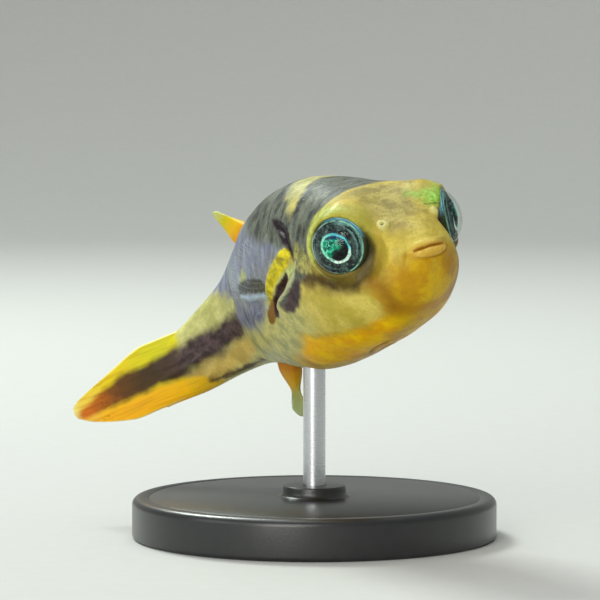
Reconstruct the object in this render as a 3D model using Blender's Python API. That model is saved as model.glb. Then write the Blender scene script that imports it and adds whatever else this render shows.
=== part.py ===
"""A dwarf freshwater pufferfish, life size, swimming round a bend, held on a small display stand.

Units are metres, +Z is up, and the origin is the middle of the underside of the stand's base.
The fish is laid out along a bent spine. Places on it are shares of its length: a share along
the spine (0 at the mouth, 1 at the tip of the tail fin), one to its left and one up.
"""
from math import cos, exp, pi, radians, sin, sqrt

import bmesh
import bpy
from mathutils import Matrix, Vector

# ---------------------------------------------------------------- the fish as a whole
LENGTH = 0.032          # mouth to the tip of the tail fin
GAP = 0.0003            # clear space left between neighbouring pieces
AROUND = 48             # points round each section of the body
SECTION_POWER = 2.2     # 2 is an ellipse; a little more fills out the corners of the section

# share along the spine, height of the back above it, depth of the belly below it, half width
PROFILE = (
    (0.00, 0.000, 0.000, 0.000),
    (0.01, 0.025, 0.030, 0.034),
    (0.04, 0.054, 0.066, 0.070),
    (0.10, 0.095, 0.106, 0.101),
    (0.18, 0.132, 0.126, 0.118),
    (0.27, 0.158, 0.140, 0.119),
    (0.36, 0.167, 0.151, 0.112),
    (0.46, 0.154, 0.142, 0.098),
    (0.56, 0.125, 0.112, 0.070),
    (0.66, 0.084, 0.078, 0.043),
    (0.77, 0.057, 0.062, 0.030),
    (0.80, 0.056, 0.060, 0.028),
)
HEAD_END = 0.33         # at the gill slits
TRUNK_END = 0.65        # behind the dorsal and anal fins
STALK_END = 0.785       # root of the tail fin

# the bends of the spine: the greatest turn, in degrees, and the shares where it starts and ends
TAIL_TURN, TURN_FROM, TURN_TO = 64.0, 0.52, 0.83    # towards the fish's right
TAIL_DROP, DROP_FROM, DROP_TO = 18.5, 0.30, 0.74
TIP_LIFT, LIFT_FROM, LIFT_TO = 15.0, 0.72, 1.00

# how the fish hangs in the water, in degrees
HEADING = -62.4         # of the head, from +X towards +Y
NOSE_UP = 10.0
LEFT_SIDE_UP = 12.3

# ---------------------------------------------------------------- head, eyes and fins
EYE_RADIUS = 0.00158
EYE_GAP = 0.0002
EYE_SUNK = 0.00015                  # how far the eyeball's middle lies behind its turret's
EYE = (0.111, 0.0885, 0.046)        # share along, left and up of the left turret's middle
EYE_LOOKS = (0.61, 0.79, 0.0)       # the way it faces: forward, left and up
LID_RADIUS = 0.060                  # of the turret of skin that holds the eye, as a share
LID_SOFTNESS = 0.020                # over which the turret runs into the head
LID_EDGE = 0.0225                   # how far the lid's edge stands out past the turret's middle
LID_DISH = 1.3                      # how fast the skin may rise again outside the turret

# soft swellings of the skin: share along, left, up, reach, height
SWELLINGS = (
    (0.030, 0.000, -0.055, 0.045, 0.012),    # chin
    (0.125, 0.065, 0.092, 0.058, 0.019),     # brow over the left eye
    (0.125, -0.065, 0.092, 0.058, 0.019),    # and over the right one
    (0.300, 0.117, 0.005, 0.035, 0.008),     # fleshy root of the left pectoral fin
    (0.300, -0.117, 0.005, 0.035, 0.008),    # and of the right one
)
# each lip: its middle's height above the mouth, its half thickness, and how far it stands out
LIPS = ((0.0125, 0.0055, 0.0040), (-0.0020, 0.0080, 0.0070))
MOUTH_HALF_WIDTH = 0.034
SNOUT_LEAN = 3.0                    # how much more forward than outward swellings stand at the mouth
SNOUT_REACH = 0.012                 # the share over which that fades

FIN_THICKNESS = 0.0005
FIN_ROOT_THICKNESS = 0.0008         # of the fleshy roots of the dorsal, anal and pectoral fins
TAIL_FIN_ROOT_THICKNESS = 0.0009
TAIL_FIN_HALF_HEIGHT = 0.053
TAIL_FIN_TIP = 0.004                # half height that is left at the rounded tip
MIDLINE_ROUNDING = 0.14             # how much shorter the outer rays of dorsal and anal fins are
DORSAL_BASE = (0.546, 0.590)
DORSAL_LENGTH = 0.097
DORSAL_RAKE = 45.0                  # degrees of its rays above the spine behind it
DORSAL_WIDTHS = (0.72, 0.42)        # halfway and at the tip, as shares of its base
ANAL_BASE = (0.568, 0.622)
ANAL_LENGTH = 0.088
ANAL_RAKE = 68.0
ANAL_WIDTHS = (0.44, 0.72)
PECTORAL_TOP = (0.250, 0.050)       # share along and up of the upper end of the fin's base
PECTORAL_FOOT = (0.352, -0.010)
PECTORAL_LENGTH = 0.100
PECTORAL_ROUNDING = 0.22            # how much shorter its outer rays are
PECTORAL_FAN = (36.0, 12.0)         # degrees above the spine of its highest and its lowest ray
PECTORAL_CLEAR = 0.0011             # from the flank under the fleshy root to the fin's middle
PECTORAL_SPREAD = -4.0              # degrees the rays open from the head's line; below 0 they close

# ---------------------------------------------------------------- display stand
BASE_RADIUS = 0.0098
BASE_HEIGHT = 0.0022
BASE_EDGE = 0.0004
BOSS_RADIUS = 0.0017
BOSS_HEIGHT = 0.0006
ROD_RADIUS = 0.0006
ROD_IN_BASE = 0.0016
ROD_IN_BELLY = 0.0018
ROD_SIDES = 24
BORE_OVERSHOOT = 0.001              # the bores' cutters start this far outside the pieces they cut
HELD_SHARE = 0.40                   # the point of the spine right above the rod
HELD_HEIGHT = 0.0138                # that point's height

COLOURS = {
    "skin_gold": (0.52, 0.36, 0.04, 1.0),
    "skin_slate": (0.12, 0.13, 0.13, 1.0),
    "fin_yellow": (0.80, 0.50, 0.03, 1.0),
    "fin_clear": (0.42, 0.48, 0.52, 1.0),
    "eye_teal": (0.02, 0.16, 0.17, 1.0),
    "stand_black": (0.02, 0.02, 0.02, 1.0),
    "stand_steel": (0.60, 0.60, 0.62, 1.0),
}


def ease(value, start, end):
    """0 before start, 1 after end, and a smooth rise between them."""
    part = min(max((value - start) / (end - start), 0.0), 1.0)
    return part * part * (3.0 - 2.0 * part)


def smooth_curve(places, heights):
    """A smooth curve through its knots, as a function of the place along it."""
    count = len(places)
    steps = [places[i + 1] - places[i] for i in range(count - 1)]
    rises = [(heights[i + 1] - heights[i]) / steps[i] for i in range(count - 1)]
    slopes = [rises[0]]
    for i in range(1, count - 1):
        slopes.append((rises[i - 1] * steps[i] + rises[i] * steps[i - 1]) / (steps[i - 1] + steps[i]))
    slopes.append(rises[-1])
    slopes[0] += 0.5 * (rises[0] - slopes[1])

    def curve(place):
        place = min(max(place, places[0]), places[-1])
        i = max(k for k in range(count - 1) if places[k] <= place)
        t = (place - places[i]) / steps[i]
        return ((1 + 2 * t) * (1 - t) ** 2 * heights[i] + t * (1 - t) ** 2 * steps[i] * slopes[i]
                + t * t * (3 - 2 * t) * heights[i + 1] + t * t * (t - 1) * steps[i] * slopes[i + 1])

    return curve


# The square root of the share rounds off the snout.
ROOTS = [sqrt(row[0]) for row in PROFILE]
back_height, belly_depth, half_width = (
    smooth_curve(ROOTS, [row[column] for row in PROFILE]) for column in (1, 2, 3))


def directions(share):
    """Forward, left and up at a share of the spine, seen from the head."""
    turn = radians(TAIL_TURN * ease(share, TURN_FROM, TURN_TO))
    drop = radians(TAIL_DROP * ease(share, DROP_FROM, DROP_TO) - TIP_LIFT * ease(share, LIFT_FROM, LIFT_TO))
    forward = Vector((cos(drop) * cos(turn), cos(drop) * sin(turn), sin(drop)))
    left = Vector((-sin(turn), cos(turn), 0.0))
    return forward, left, forward.cross(left)


SPINE_STEPS = 400
SPINE = [Vector()]
for step in range(SPINE_STEPS):
    SPINE.append(SPINE[-1] - directions((step + 0.5) / SPINE_STEPS)[0] * LENGTH / SPINE_STEPS)


def spine_point(share):
    """A point of the spine, in the head's own directions, from the mouth."""
    place = min(max(share, 0.0), 1.0) * SPINE_STEPS
    step = min(int(place), SPINE_STEPS - 1)
    return SPINE[step].lerp(SPINE[step + 1], place - step)


def in_fish(share, left, up):
    """The point at a share along the spine, moved left and up by shares of the length."""
    _, to_left, to_up = directions(share)
    return spine_point(share) + (to_left * left + to_up * up) * LENGTH


def section(share, angle):
    """How far left and up the skin lies at an angle round one section (0 is left, 90 is up)."""
    root = sqrt(share)
    across, along = cos(angle), sin(angle)
    power = 2.0 / SECTION_POWER
    height = back_height(root) if along > 0 else belly_depth(root)
    left = half_width(root) * abs(across) ** power
    up = height * abs(along) ** power
    return (left if across > 0 else -left), (up if along > 0 else -up)


def soft_most(one, two, softness):
    """The larger of two lengths, rounded off where they are close."""
    near = max(softness - abs(one - two), 0.0)
    return max(one, two) + near * near / (4.0 * softness)


def skin(share, angle):
    """A point of the skin, with its swellings and the turrets of the eyes."""
    left, up = section(share, angle)
    point = in_fish(share, left, up)
    forward, to_left, to_up = directions(share)
    outward = to_left * cos(angle) + to_up * sin(angle)
    outward = (outward + forward * SNOUT_LEAN * exp(-share / SNOUT_REACH)).normalized()
    for lip_up, half, stand in LIPS:
        fade = ((up - lip_up) / half) ** 2 + (left / MOUTH_HALF_WIDTH) ** 4
        point = point + outward * stand * LENGTH * exp(-fade)
    for where, left_at, up_at, reach, height in SWELLINGS:
        far = (point - in_fish(where, left_at, up_at)).length / (reach * LENGTH)
        point = point + outward * height * LENGTH * exp(-far * far)
    for side in (1.0, -1.0):
        point = round_eye(point, side)
    return point


def eye_axis(side):
    """The middle of an eye's turret (1 is the left one) and the way it faces."""
    looks = Vector((EYE_LOOKS[0], side * EYE_LOOKS[1], EYE_LOOKS[2])).normalized()
    return in_fish(EYE[0], side * EYE[1], EYE[2]), looks


def round_eye(point, side):
    """Push the skin out into a turret round an eye, flat across its lid's edge."""
    eye, looks = eye_axis(side)
    turret = LID_RADIUS * LENGTH
    softness = LID_SOFTNESS * LENGTH
    away = (point - eye).length
    offset = (point - eye) * (soft_most(away, turret, softness) / away)
    height = offset.dot(looks)
    across = offset - looks * height
    rise = max(across.length / turret - 1.0, 0.0)
    limit = LID_EDGE * LENGTH + turret * LID_DISH * rise * rise
    return eye + across + looks * -soft_most(-height, -limit, softness * 0.5)


# Head directions to the room's: bank, then nose up, then heading, with the held point over the rod.
TO_ROOM = (Matrix.Translation((0.0, 0.0, HELD_HEIGHT))
           @ Matrix.Rotation(radians(HEADING), 4, "Z")
           @ Matrix.Rotation(radians(-NOSE_UP), 4, "Y")
           @ Matrix.Rotation(radians(LEFT_SIDE_UP), 4, "X")
           @ Matrix.Translation(-spine_point(HELD_SHARE)))


def material(name, roughness, metallic=0.0):
    """The plain finish of one kind of piece."""
    made = bpy.data.materials.get(name)
    if made:
        return made
    made = bpy.data.materials.new(name)
    made.use_nodes = True
    surface = made.node_tree.nodes["Principled BSDF"]
    surface.inputs["Base Color"].default_value = COLOURS[name]
    surface.inputs["Roughness"].default_value = roughness
    surface.inputs["Metallic"].default_value = metallic
    return made


def add_object(name, mesh_edit, finish, place=TO_ROOM):
    """Turn a bmesh into a named object, with its faces pointing out and smooth."""
    bmesh.ops.recalc_face_normals(mesh_edit, faces=mesh_edit.faces)
    mesh = bpy.data.meshes.new(name)
    mesh_edit.to_mesh(mesh)
    mesh_edit.free()
    mesh.transform(place)
    mesh.shade_smooth()
    mesh.set_sharp_from_angle(angle=radians(40.0))
    mesh.materials.append(finish)
    made = bpy.data.objects.new(name, mesh)
    bpy.context.scene.collection.objects.link(made)
    return made


def cut(target, cutter):
    """Take a hidden cutter's shape out of a piece."""
    cutter.hide_render = True
    cutter.display_type = "WIRE"
    hole = target.modifiers.new("cut by " + cutter.name, "BOOLEAN")
    hole.operation = "DIFFERENCE"
    hole.solver = "EXACT"
    hole.object = cutter


def join_rings(mesh_edit, rings):
    """Skin a row of equal rings of points, closed at both ends."""
    loops = [[mesh_edit.verts.new(point) for point in ring] for ring in rings]
    for one, two in zip(loops, loops[1:]):
        for i in range(len(one)):
            j = (i + 1) % len(one)
            mesh_edit.faces.new((one[i], one[j], two[j], two[i]))
    mesh_edit.faces.new(loops[0])
    mesh_edit.faces.new(loops[-1])


def body_piece(name, start, end, rings, finish):
    """A length of the body between two sections, closed by a flat end at each."""
    mesh_edit = bmesh.new()
    shares = []
    for ring in range(rings + 1):
        root = sqrt(start) + (sqrt(end) - sqrt(start)) * ring / rings
        shares.append(root * root)
    angles = [2.0 * pi * i / AROUND for i in range(AROUND)]
    join_rings(mesh_edit, [[skin(share, angle) for angle in angles] for share in shares])
    return add_object(name, mesh_edit, finish)


def fin(name, middle, thickness, across, along, finish, place=TO_ROOM):
    """A thin fin: a grid over middle(u, v), as thick as thickness(u, v), with u across the rays
    and v along them, both from 0 to 1."""
    step = 0.01
    sides = ([], [])
    for i in range(across + 1):
        rows = ([], [])
        for j in range(along + 1):
            u, v = i / across, j / along
            point = middle(u, v)
            low, high = max(u - step, 0.0), min(u + step, 1.0)
            near, far = max(v - step, 0.0), min(v + step, 1.0)
            normal = (middle(high, v) - middle(low, v)).cross(middle(u, far) - middle(u, near)).normalized()
            for side, row in zip((0.5, -0.5), rows):
                row.append(point + normal * side * thickness(u, v))
        sides[0].append(rows[0])
        sides[1].append(rows[1])
    mesh_edit = bmesh.new()
    rings = []
    for upper, lower in zip(*sides):
        rings.append(upper + lower[::-1])
    join_rings(mesh_edit, rings)
    return add_object(name, mesh_edit, finish, place)


def on_midline(share, above):
    """A point of the back (above 1) or belly (above -1) line, clear of the skin by the gap."""
    root = sqrt(share)
    if above > 0:
        return in_fish(share, 0.0, back_height(root) + GAP / LENGTH)
    return in_fish(share, 0.0, -belly_depth(root) - GAP / LENGTH)


def midline_fin(base, length, rake, widths, above):
    """The middle surface of a fin on the back or belly line: wide at its base, narrower halfway,
    then as wide as its tip, which is rounded."""
    def middle(u, v):
        share = 0.5 * (base[0] + base[1])
        forward, _, up = directions(share)
        lean = radians(rake)
        ray = -forward * cos(lean) + up * (above * sin(lean))
        width = 1.0 + (widths[0] - 1.0) * ease(v, 0.0, 0.6) + (widths[1] - widths[0]) * ease(v, 0.4, 1.0)
        root_point = on_midline(base[0] + (base[1] - base[0]) * u, above)
        centre = on_midline(share, above)
        reach = length * LENGTH * (1.0 - MIDLINE_ROUNDING * (2.0 * u - 1.0) ** 2)
        return centre + (root_point - centre) * width + ray * reach * v
    return middle


def fin_taper(root_thickness):
    """Fleshy at the root, thinning to the plain fin thickness near the tip."""
    def thickness(u, v):
        return FIN_THICKNESS + (root_thickness - FIN_THICKNESS) * (1.0 - ease(v, 0.0, 0.9))
    return thickness


def tail_fin_middle(u, v):
    """The folded tail fin: a leaf that narrows to a rounded tip."""
    start = STALK_END + GAP / LENGTH
    share = start + (1.0 - start) * v
    half = TAIL_FIN_HALF_HEIGHT * max(1.0 - v ** 3, 0.0) ** 0.7 + TAIL_FIN_TIP * v
    return in_fish(share, 0.0, half * (2.0 * u - 1.0))


def pectoral_middle(side):
    """The middle surface of a pectoral fin: a fan laid back along the flank."""
    def middle(u, v):
        share = PECTORAL_TOP[0] + (PECTORAL_FOOT[0] - PECTORAL_TOP[0]) * u
        up = PECTORAL_TOP[1] + (PECTORAL_FOOT[1] - PECTORAL_TOP[1]) * u
        root = sqrt(share)
        height = back_height(root) if up > 0 else belly_depth(root)
        out = half_width(root) * (1.0 - (abs(up) / height) ** SECTION_POWER) ** (1.0 / SECTION_POWER)
        foot = in_fish(share, side * (out + PECTORAL_CLEAR / LENGTH), up)
        forward, left, to_up = directions(share)
        fan = radians(PECTORAL_FAN[0] + (PECTORAL_FAN[1] - PECTORAL_FAN[0]) * u)
        open_by = radians(PECTORAL_SPREAD)
        back = -forward * cos(fan) + to_up * sin(fan)
        ray = back * cos(open_by) + left * side * sin(open_by)
        reach = PECTORAL_LENGTH * LENGTH * (1.0 - PECTORAL_ROUNDING * (2.0 * u - 1.0) ** 2)
        return foot + ray * reach * v
    return middle


def upright_rod(name, radius, low, high, finish):
    """A plain upright cylinder on the stand's axis."""
    rod = bmesh.new()
    bmesh.ops.create_cone(rod, cap_ends=True, segments=ROD_SIDES, radius1=radius, radius2=radius,
                          depth=high - low)
    return add_object(name, rod, finish, Matrix.Translation((0.0, 0.0, 0.5 * (low + high))))


def belly_over_rod():
    """Height of the belly's skin on the stand's axis, found on a fine grid over the belly."""
    shares = [HELD_SHARE + 0.001 * step for step in range(-60, 61)]
    underside = [radians(angle) for angle in range(210, 331)]
    points = (TO_ROOM @ skin(share, angle) for share in shares for angle in underside)
    return min(points, key=lambda point: point.x ** 2 + point.y ** 2).z


# ---------------------------------------------------------------- build
for old in list(bpy.data.objects):
    bpy.data.objects.remove(old, do_unlink=True)

gold = material("skin_gold", 0.35)
slate = material("skin_slate", 0.35)
yellow = material("fin_yellow", 0.40)
clear = material("fin_clear", 0.30)
teal = material("eye_teal", 0.08)
black = material("stand_black", 0.35)
steel = material("stand_steel", 0.25, 1.0)

# body, in three lengths parted by thin cuts
half_gap = 0.5 * GAP / LENGTH
head = body_piece("head", 0.0004, HEAD_END - half_gap, 22, gold)
trunk = body_piece("trunk", HEAD_END + half_gap, TRUNK_END - half_gap, 12, slate)
tail_stalk = body_piece("tail_stalk", TRUNK_END + half_gap, STALK_END - half_gap, 9, slate)

# eyes, each in a round socket cut into its turret of skin
for side, sign in (("left", 1.0), ("right", -1.0)):
    eye, looks = eye_axis(sign)
    middle = TO_ROOM @ Matrix.Translation(eye - looks * EYE_SUNK) @ looks.to_track_quat("Z", "Y").to_matrix().to_4x4()
    for name, radius in (("eye_" + side, EYE_RADIUS), ("socket_" + side, EYE_RADIUS + EYE_GAP)):
        ball = bmesh.new()
        bmesh.ops.create_uvsphere(ball, u_segments=24, v_segments=14, radius=radius)
        ball_object = add_object(name, ball, teal, middle)
        if name.startswith("socket"):
            cut(head, ball_object)

# fins
fin("tail_fin", tail_fin_middle, fin_taper(TAIL_FIN_ROOT_THICKNESS), 10, 14, yellow)
dorsal_middle = midline_fin(DORSAL_BASE, DORSAL_LENGTH, DORSAL_RAKE, DORSAL_WIDTHS, 1.0)
anal_middle = midline_fin(ANAL_BASE, ANAL_LENGTH, ANAL_RAKE, ANAL_WIDTHS, -1.0)
fin("dorsal_fin", dorsal_middle, fin_taper(FIN_ROOT_THICKNESS), 6, 8, yellow)
fin("anal_fin", anal_middle, fin_taper(FIN_ROOT_THICKNESS), 6, 8, yellow)
for side, sign in (("left", 1.0), ("right", -1.0)):
    fin("pectoral_fin_" + side, pectoral_middle(sign), fin_taper(FIN_ROOT_THICKNESS), 10, 8, clear)

# stand: a turned base with a boss, and a rod up into a bore in the belly
profile = (
    (0.0, 0.0), (BASE_RADIUS - BASE_EDGE, 0.0), (BASE_RADIUS, BASE_EDGE),
    (BASE_RADIUS, BASE_HEIGHT - BASE_EDGE), (BASE_RADIUS - BASE_EDGE, BASE_HEIGHT),
    (BOSS_RADIUS, BASE_HEIGHT), (BOSS_RADIUS, BASE_HEIGHT + BOSS_HEIGHT),
    (0.0, BASE_HEIGHT + BOSS_HEIGHT),
)
turned = bmesh.new()
points = [turned.verts.new((radius, 0.0, height)) for radius, height in profile]
edges = [turned.edges.new(pair) for pair in zip(points, points[1:])]
bmesh.ops.spin(turned, geom=points + edges, cent=(0, 0, 0), axis=(0, 0, 1), angle=2.0 * pi, steps=64)
bmesh.ops.remove_doubles(turned, verts=turned.verts, dist=1e-6)
stand_base = add_object("stand_base", turned, black, Matrix())

# The rod meets the belly where the spine's held point is straight above it.
top_of_base = BASE_HEIGHT + BOSS_HEIGHT
belly = belly_over_rod()
rod_foot = top_of_base - ROD_IN_BASE
rod_tip = belly + ROD_IN_BELLY
upright_rod("stand_rod", ROD_RADIUS, rod_foot, rod_tip, steel)
bore = ROD_RADIUS + GAP
bore_below = upright_rod("bore_in_base", bore, rod_foot - GAP, top_of_base + BORE_OVERSHOOT, black)
bore_above = upright_rod("bore_in_belly", bore, belly - 2.0 * BORE_OVERSHOOT, rod_tip + GAP, slate)
cut(stand_base, bore_below)
cut(trunk, bore_above)
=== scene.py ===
"""A dwarf freshwater pufferfish, life size, swimming round a bend, on a small display stand.

Units are metres and +Z is up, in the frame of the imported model. The sections follow the model as
it is put together: camera and studio, the hide, the eyes, the fins, and the stand. Places on the
fish are shares of its length: a share along its bent spine (0 at the mouth, 1 at the tip of the
tail fin), one to its left and one up.
"""
from math import cos, pi, radians, sin

import bmesh
import bpy
import numpy as np
from mathutils import Matrix, Vector


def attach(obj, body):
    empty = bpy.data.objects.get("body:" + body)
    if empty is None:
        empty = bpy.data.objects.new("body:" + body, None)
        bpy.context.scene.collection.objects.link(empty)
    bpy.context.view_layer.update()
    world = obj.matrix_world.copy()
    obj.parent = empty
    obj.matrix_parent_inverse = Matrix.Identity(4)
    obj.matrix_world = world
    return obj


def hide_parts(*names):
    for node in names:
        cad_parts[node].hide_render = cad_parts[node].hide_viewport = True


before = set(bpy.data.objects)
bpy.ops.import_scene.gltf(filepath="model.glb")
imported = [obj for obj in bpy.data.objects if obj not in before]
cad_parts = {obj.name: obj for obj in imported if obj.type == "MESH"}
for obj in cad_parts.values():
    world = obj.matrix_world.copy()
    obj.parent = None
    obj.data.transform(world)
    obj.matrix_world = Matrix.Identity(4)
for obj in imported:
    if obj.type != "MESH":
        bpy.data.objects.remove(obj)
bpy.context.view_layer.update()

# -------------------------------- camera
# A long lens at arm's length, level with the fish and looking a little down on it, so that the
# fish swims past from left to right with its head turned half towards the lens.
CAMERA_PLACE = (-0.00077, -0.18766, 0.02589)
CAMERA_DOWN = 4  # degrees below the level
CAMERA_LENS = 210.6  # mm, on a film 36 mm wide
CAMERA_NEAR = 0.001

lens = bpy.data.cameras.new("camera")
lens.lens = CAMERA_LENS
lens.sensor_width = 36
lens.clip_start = CAMERA_NEAR
camera = bpy.data.objects.new("camera", lens)
camera.location = CAMERA_PLACE
camera.rotation_euler = (radians(90 - CAMERA_DOWN), 0, 0)
bpy.context.scene.collection.objects.link(camera)
bpy.context.scene.camera = camera
bpy.context.scene.view_settings.view_transform = "Standard"

# -------------------------------- studio
# A round sweep of pale card, flat under the stand and curving up into a wall all round, so that
# no edge of it shows, with soft boxes hung over it.
SWEEP_FLAT, SWEEP_BEND, SWEEP_TOP = 0.30, 0.16, 0.50  # radii of the floor and the bend, height
SWEEP_PALE, CARD_GRAIN = (192, 193, 190), 3  # its colour, and how far its fine grain goes from it
# the room's own dim light, and the soft boxes: place, width, power in watts, tint
ROOM_LIGHT, ROOM_TINT = 0.44, (0.95, 0.97, 1, 1)
SOFT_BOXES = (
    ("top", (-0.02, 0.06, 0.45), 0.34, 0.80, (1, 1, 0.97)),
    ("front", (-0.10, -0.30, 0.15), 0.18, 0.40, (1, 0.98, 0.94)),
    ("low", (-0.06, -0.15, 0.010), 0.08, 0.09, (1, 0.97, 0.90)),
    ("side", (-0.22, -0.10, 0.10), 0.14, 0.10, (0.94, 0.97, 1)),
    ("rim", (-0.10, 0.16, 0.22), 0.08, 0.60, (0.90, 1, 0.94)),
)
AIM = (0, 0, 0.013)


def colour(red, green, blue):
    """A colour given from 0 to 255, as the linear values that shaders take."""
    return tuple((part / 255) ** 2.2 for part in (red, green, blue)) + (1,)


def add_node(tree, kind, values=(), **settings):
    """Add a node. Settings are its options; values give its inputs a number, colour or link."""
    made = tree.nodes.new(kind)
    for name, setting in settings.items():
        setattr(made, name, setting)
    for name, value in dict(values).items():
        if isinstance(value, bpy.types.NodeSocket):
            tree.links.new(value, made.inputs[name])
        else:
            made.inputs[name].default_value = value
    return made


def paint(shade):
    """A colour from 0 to 255 for a socket; a socket stays as it is."""
    return colour(*shade) if isinstance(shade, tuple) else shade


def feed(surface, label, value):
    """Link a value to a named input of a surface or of a group's output."""
    surface.id_data.links.new(value, surface.inputs[label])


def ramp(factor, stops):
    """A colour ramp."""
    made = add_node(factor.id_data, "ShaderNodeValToRGB", {"Fac": factor})
    while len(made.color_ramp.elements) < len(stops):
        made.color_ramp.elements.new(0.5)
    for stop, (where, shade) in zip(made.color_ramp.elements, stops):
        stop.position = where
        stop.color = paint(shade)
    return made.outputs["Color"]


def new_material(name, roughness, **plain):
    """A material with plain values on its surface shader's own sockets, and that shader."""
    made = bpy.data.materials.new(name)
    made.use_nodes = True
    surface = made.node_tree.nodes["Principled BSDF"]
    for label, value in {"roughness": roughness, **plain}.items():
        surface.inputs[label.replace("_", " ").title().replace("Ior", "IOR")].default_value = value
    return made, surface


def show(name, mesh, finish=None):
    """Link a mesh into the scene as a new object at the origin."""
    if finish:
        mesh.materials.append(finish)
    made = bpy.data.objects.new(name, mesh)
    bpy.context.scene.collection.objects.link(made)
    return made


def turned(name, profile, sides):
    """A mesh turned about the Z axis from (radius, height) points, with smooth faces."""
    shape = bmesh.new()
    points = [shape.verts.new((radius, 0, height)) for radius, height in profile]
    edges = [shape.edges.new(pair) for pair in zip(points, points[1:])]
    bmesh.ops.spin(shape, geom=points + edges, cent=(0, 0, 0), axis=(0, 0, 1),
                   angle=2 * pi, steps=sides)
    bmesh.ops.remove_doubles(shape, verts=shape.verts, dist=1e-7)
    bmesh.ops.recalc_face_normals(shape, faces=shape.faces)
    mesh = bpy.data.meshes.new(name)
    shape.to_mesh(mesh)
    shape.free()
    mesh.shade_smooth()
    return mesh


def arc(centre, radius, start, end, steps):
    """(radius, height) points along an arc, from one angle to another in degrees."""
    turns = [radians(start + (end - start) * step / steps) for step in range(steps + 1)]
    return [(centre[0] + radius * cos(turn), centre[1] + radius * sin(turn)) for turn in turns]


sweep_profile = [(0, 0)] + arc((SWEEP_FLAT, SWEEP_BEND), SWEEP_BEND, -90, 0, 24)
sweep_profile.append((SWEEP_FLAT + SWEEP_BEND, SWEEP_TOP))
card, card_surface = new_material("pale card", 0.85)
card_grain = add_node(card_surface.id_data, "ShaderNodeTexNoise", {"Scale": 900, "Detail": 3})
card_shades = [tuple(part + shift for part in SWEEP_PALE) for shift in (-CARD_GRAIN, CARD_GRAIN)]
feed(card_surface, "Base Color", ramp(card_grain.outputs["Fac"], list(enumerate(card_shades))))
show("studio_sweep", turned("studio_sweep", sweep_profile, 96), card)

room = bpy.data.worlds.new("studio")
room.use_nodes = True
room.node_tree.nodes["Background"].inputs["Color"].default_value = ROOM_TINT
room.node_tree.nodes["Background"].inputs["Strength"].default_value = ROOM_LIGHT
bpy.context.scene.world = room
for label, place, width, power, tint in SOFT_BOXES:
    box = bpy.data.lights.new("soft box " + label, "AREA")
    box.size = width
    box.energy = power
    box.color = tint
    hung = bpy.data.objects.new("soft box " + label, box)
    hung.location = place
    hung.rotation_euler = (Vector(AIM) - Vector(place)).to_track_quat("-Z", "Y").to_euler()
    bpy.context.scene.collection.objects.link(hung)

# -------------------------------- the hide: its shape
# Head, trunk and tail stalk are one unbroken scaleless hide over firm flesh: blunt snout with
# small fleshy lips, a turret round each eye, gill slits, and a fleshy root under each side fin.
LENGTH = 0.032  # mouth to the tip of the tail fin
MM = 0.001
LENGTH_MM = LENGTH / MM
SECTION_POWER = 2.2  # 2 is an ellipse; a little more fills out the section's corners
# share along the spine, height of the back above it, depth of the belly below it, half width
PROFILE = (
    (0.00, 0.000, 0.000, 0.000),
    (0.01, 0.025, 0.030, 0.034),
    (0.04, 0.054, 0.066, 0.070),
    (0.10, 0.095, 0.106, 0.101),
    (0.18, 0.132, 0.126, 0.118),
    (0.27, 0.158, 0.140, 0.119),
    (0.36, 0.167, 0.151, 0.112),
    (0.46, 0.154, 0.142, 0.098),
    (0.56, 0.125, 0.112, 0.070),
    (0.66, 0.084, 0.078, 0.043),
    (0.77, 0.057, 0.062, 0.030),
    (0.80, 0.056, 0.060, 0.028),
)
THIN_FROM, HIDE_END = 0.770, 0.850  # where the hide thins out over the root of the tail fin
# the bends of the spine: greatest turn in degrees, and the shares where it starts and ends
TAIL_TURN, TURN_FROM, TURN_TO = 64, 0.52, 0.83
TAIL_DROP, DROP_FROM, DROP_TO = 18.5, 0.30, 0.74
TIP_LIFT, LIFT_FROM, LIFT_TO = 15, 0.72, 1.00
# how the fish hangs, in degrees, and the point of the spine right above the rod
HEADING, NOSE_UP, LEFT_SIDE_UP = -62.4, 10, 12.3
HELD_SHARE, HELD_HEIGHT = 0.40, 0.0138

EYE = (0.111, 0.0885, 0.046)  # share along, left and up of the middle of the left turret
EYE_LOOKS = (0.61, 0.79, 0.00)  # the way it faces: forward, left and up
TURRET, TURRET_SOFTNESS = 0.058, 0.020  # radius of the turret of hide that holds the eye
LID_EDGE = 0.0225  # how far the lid's rim stands out past the turret's middle
LID_DIP, DIP_AT, DIP_WIDTH = 0.0170, 118, 45  # how much lower it is in front, and where
LID_DISH = 1.3
# soft swellings: share along, left, up, reach, height
BROW, BROW_CORNER = (0.125, 0.065, 0.092, 0.058, 0.019), (0.102, 0.070, 0.080, 0.032, 0.023)
FIN_ROOT = (0.300, 0.117, 0.005, 0.035, 0.008)
SWELLINGS = [(0.030, 0.000, -0.055, 0.045, 0.012)]  # the chin
SWELLINGS += [(swell[0], side * swell[1], *swell[2:])
              for swell in (BROW, BROW_CORNER, FIN_ROOT) for side in (1, -1)]
LIPS = ((0.0125, 0.0055, 0.0040), (-0.0020, 0.0080, 0.0070))  # height, half height, swelling
MOUTH_HALF_WIDTH = 0.034
SNOUT_LEAN, SNOUT_REACH = 3, 0.012
RINGS, AROUND = 318, 304  # rings of points from snout to tail, and points in each
SIDE_CROWDING = 0.22  # how much closer the points lie on the sides than elsewhere


def ease(value, start, end):
    """0 before start, 1 after end, and a smooth rise between them."""
    part = np.clip((value - start) / (end - start), 0, 1)
    return part * part * (3 - 2 * part)


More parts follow.
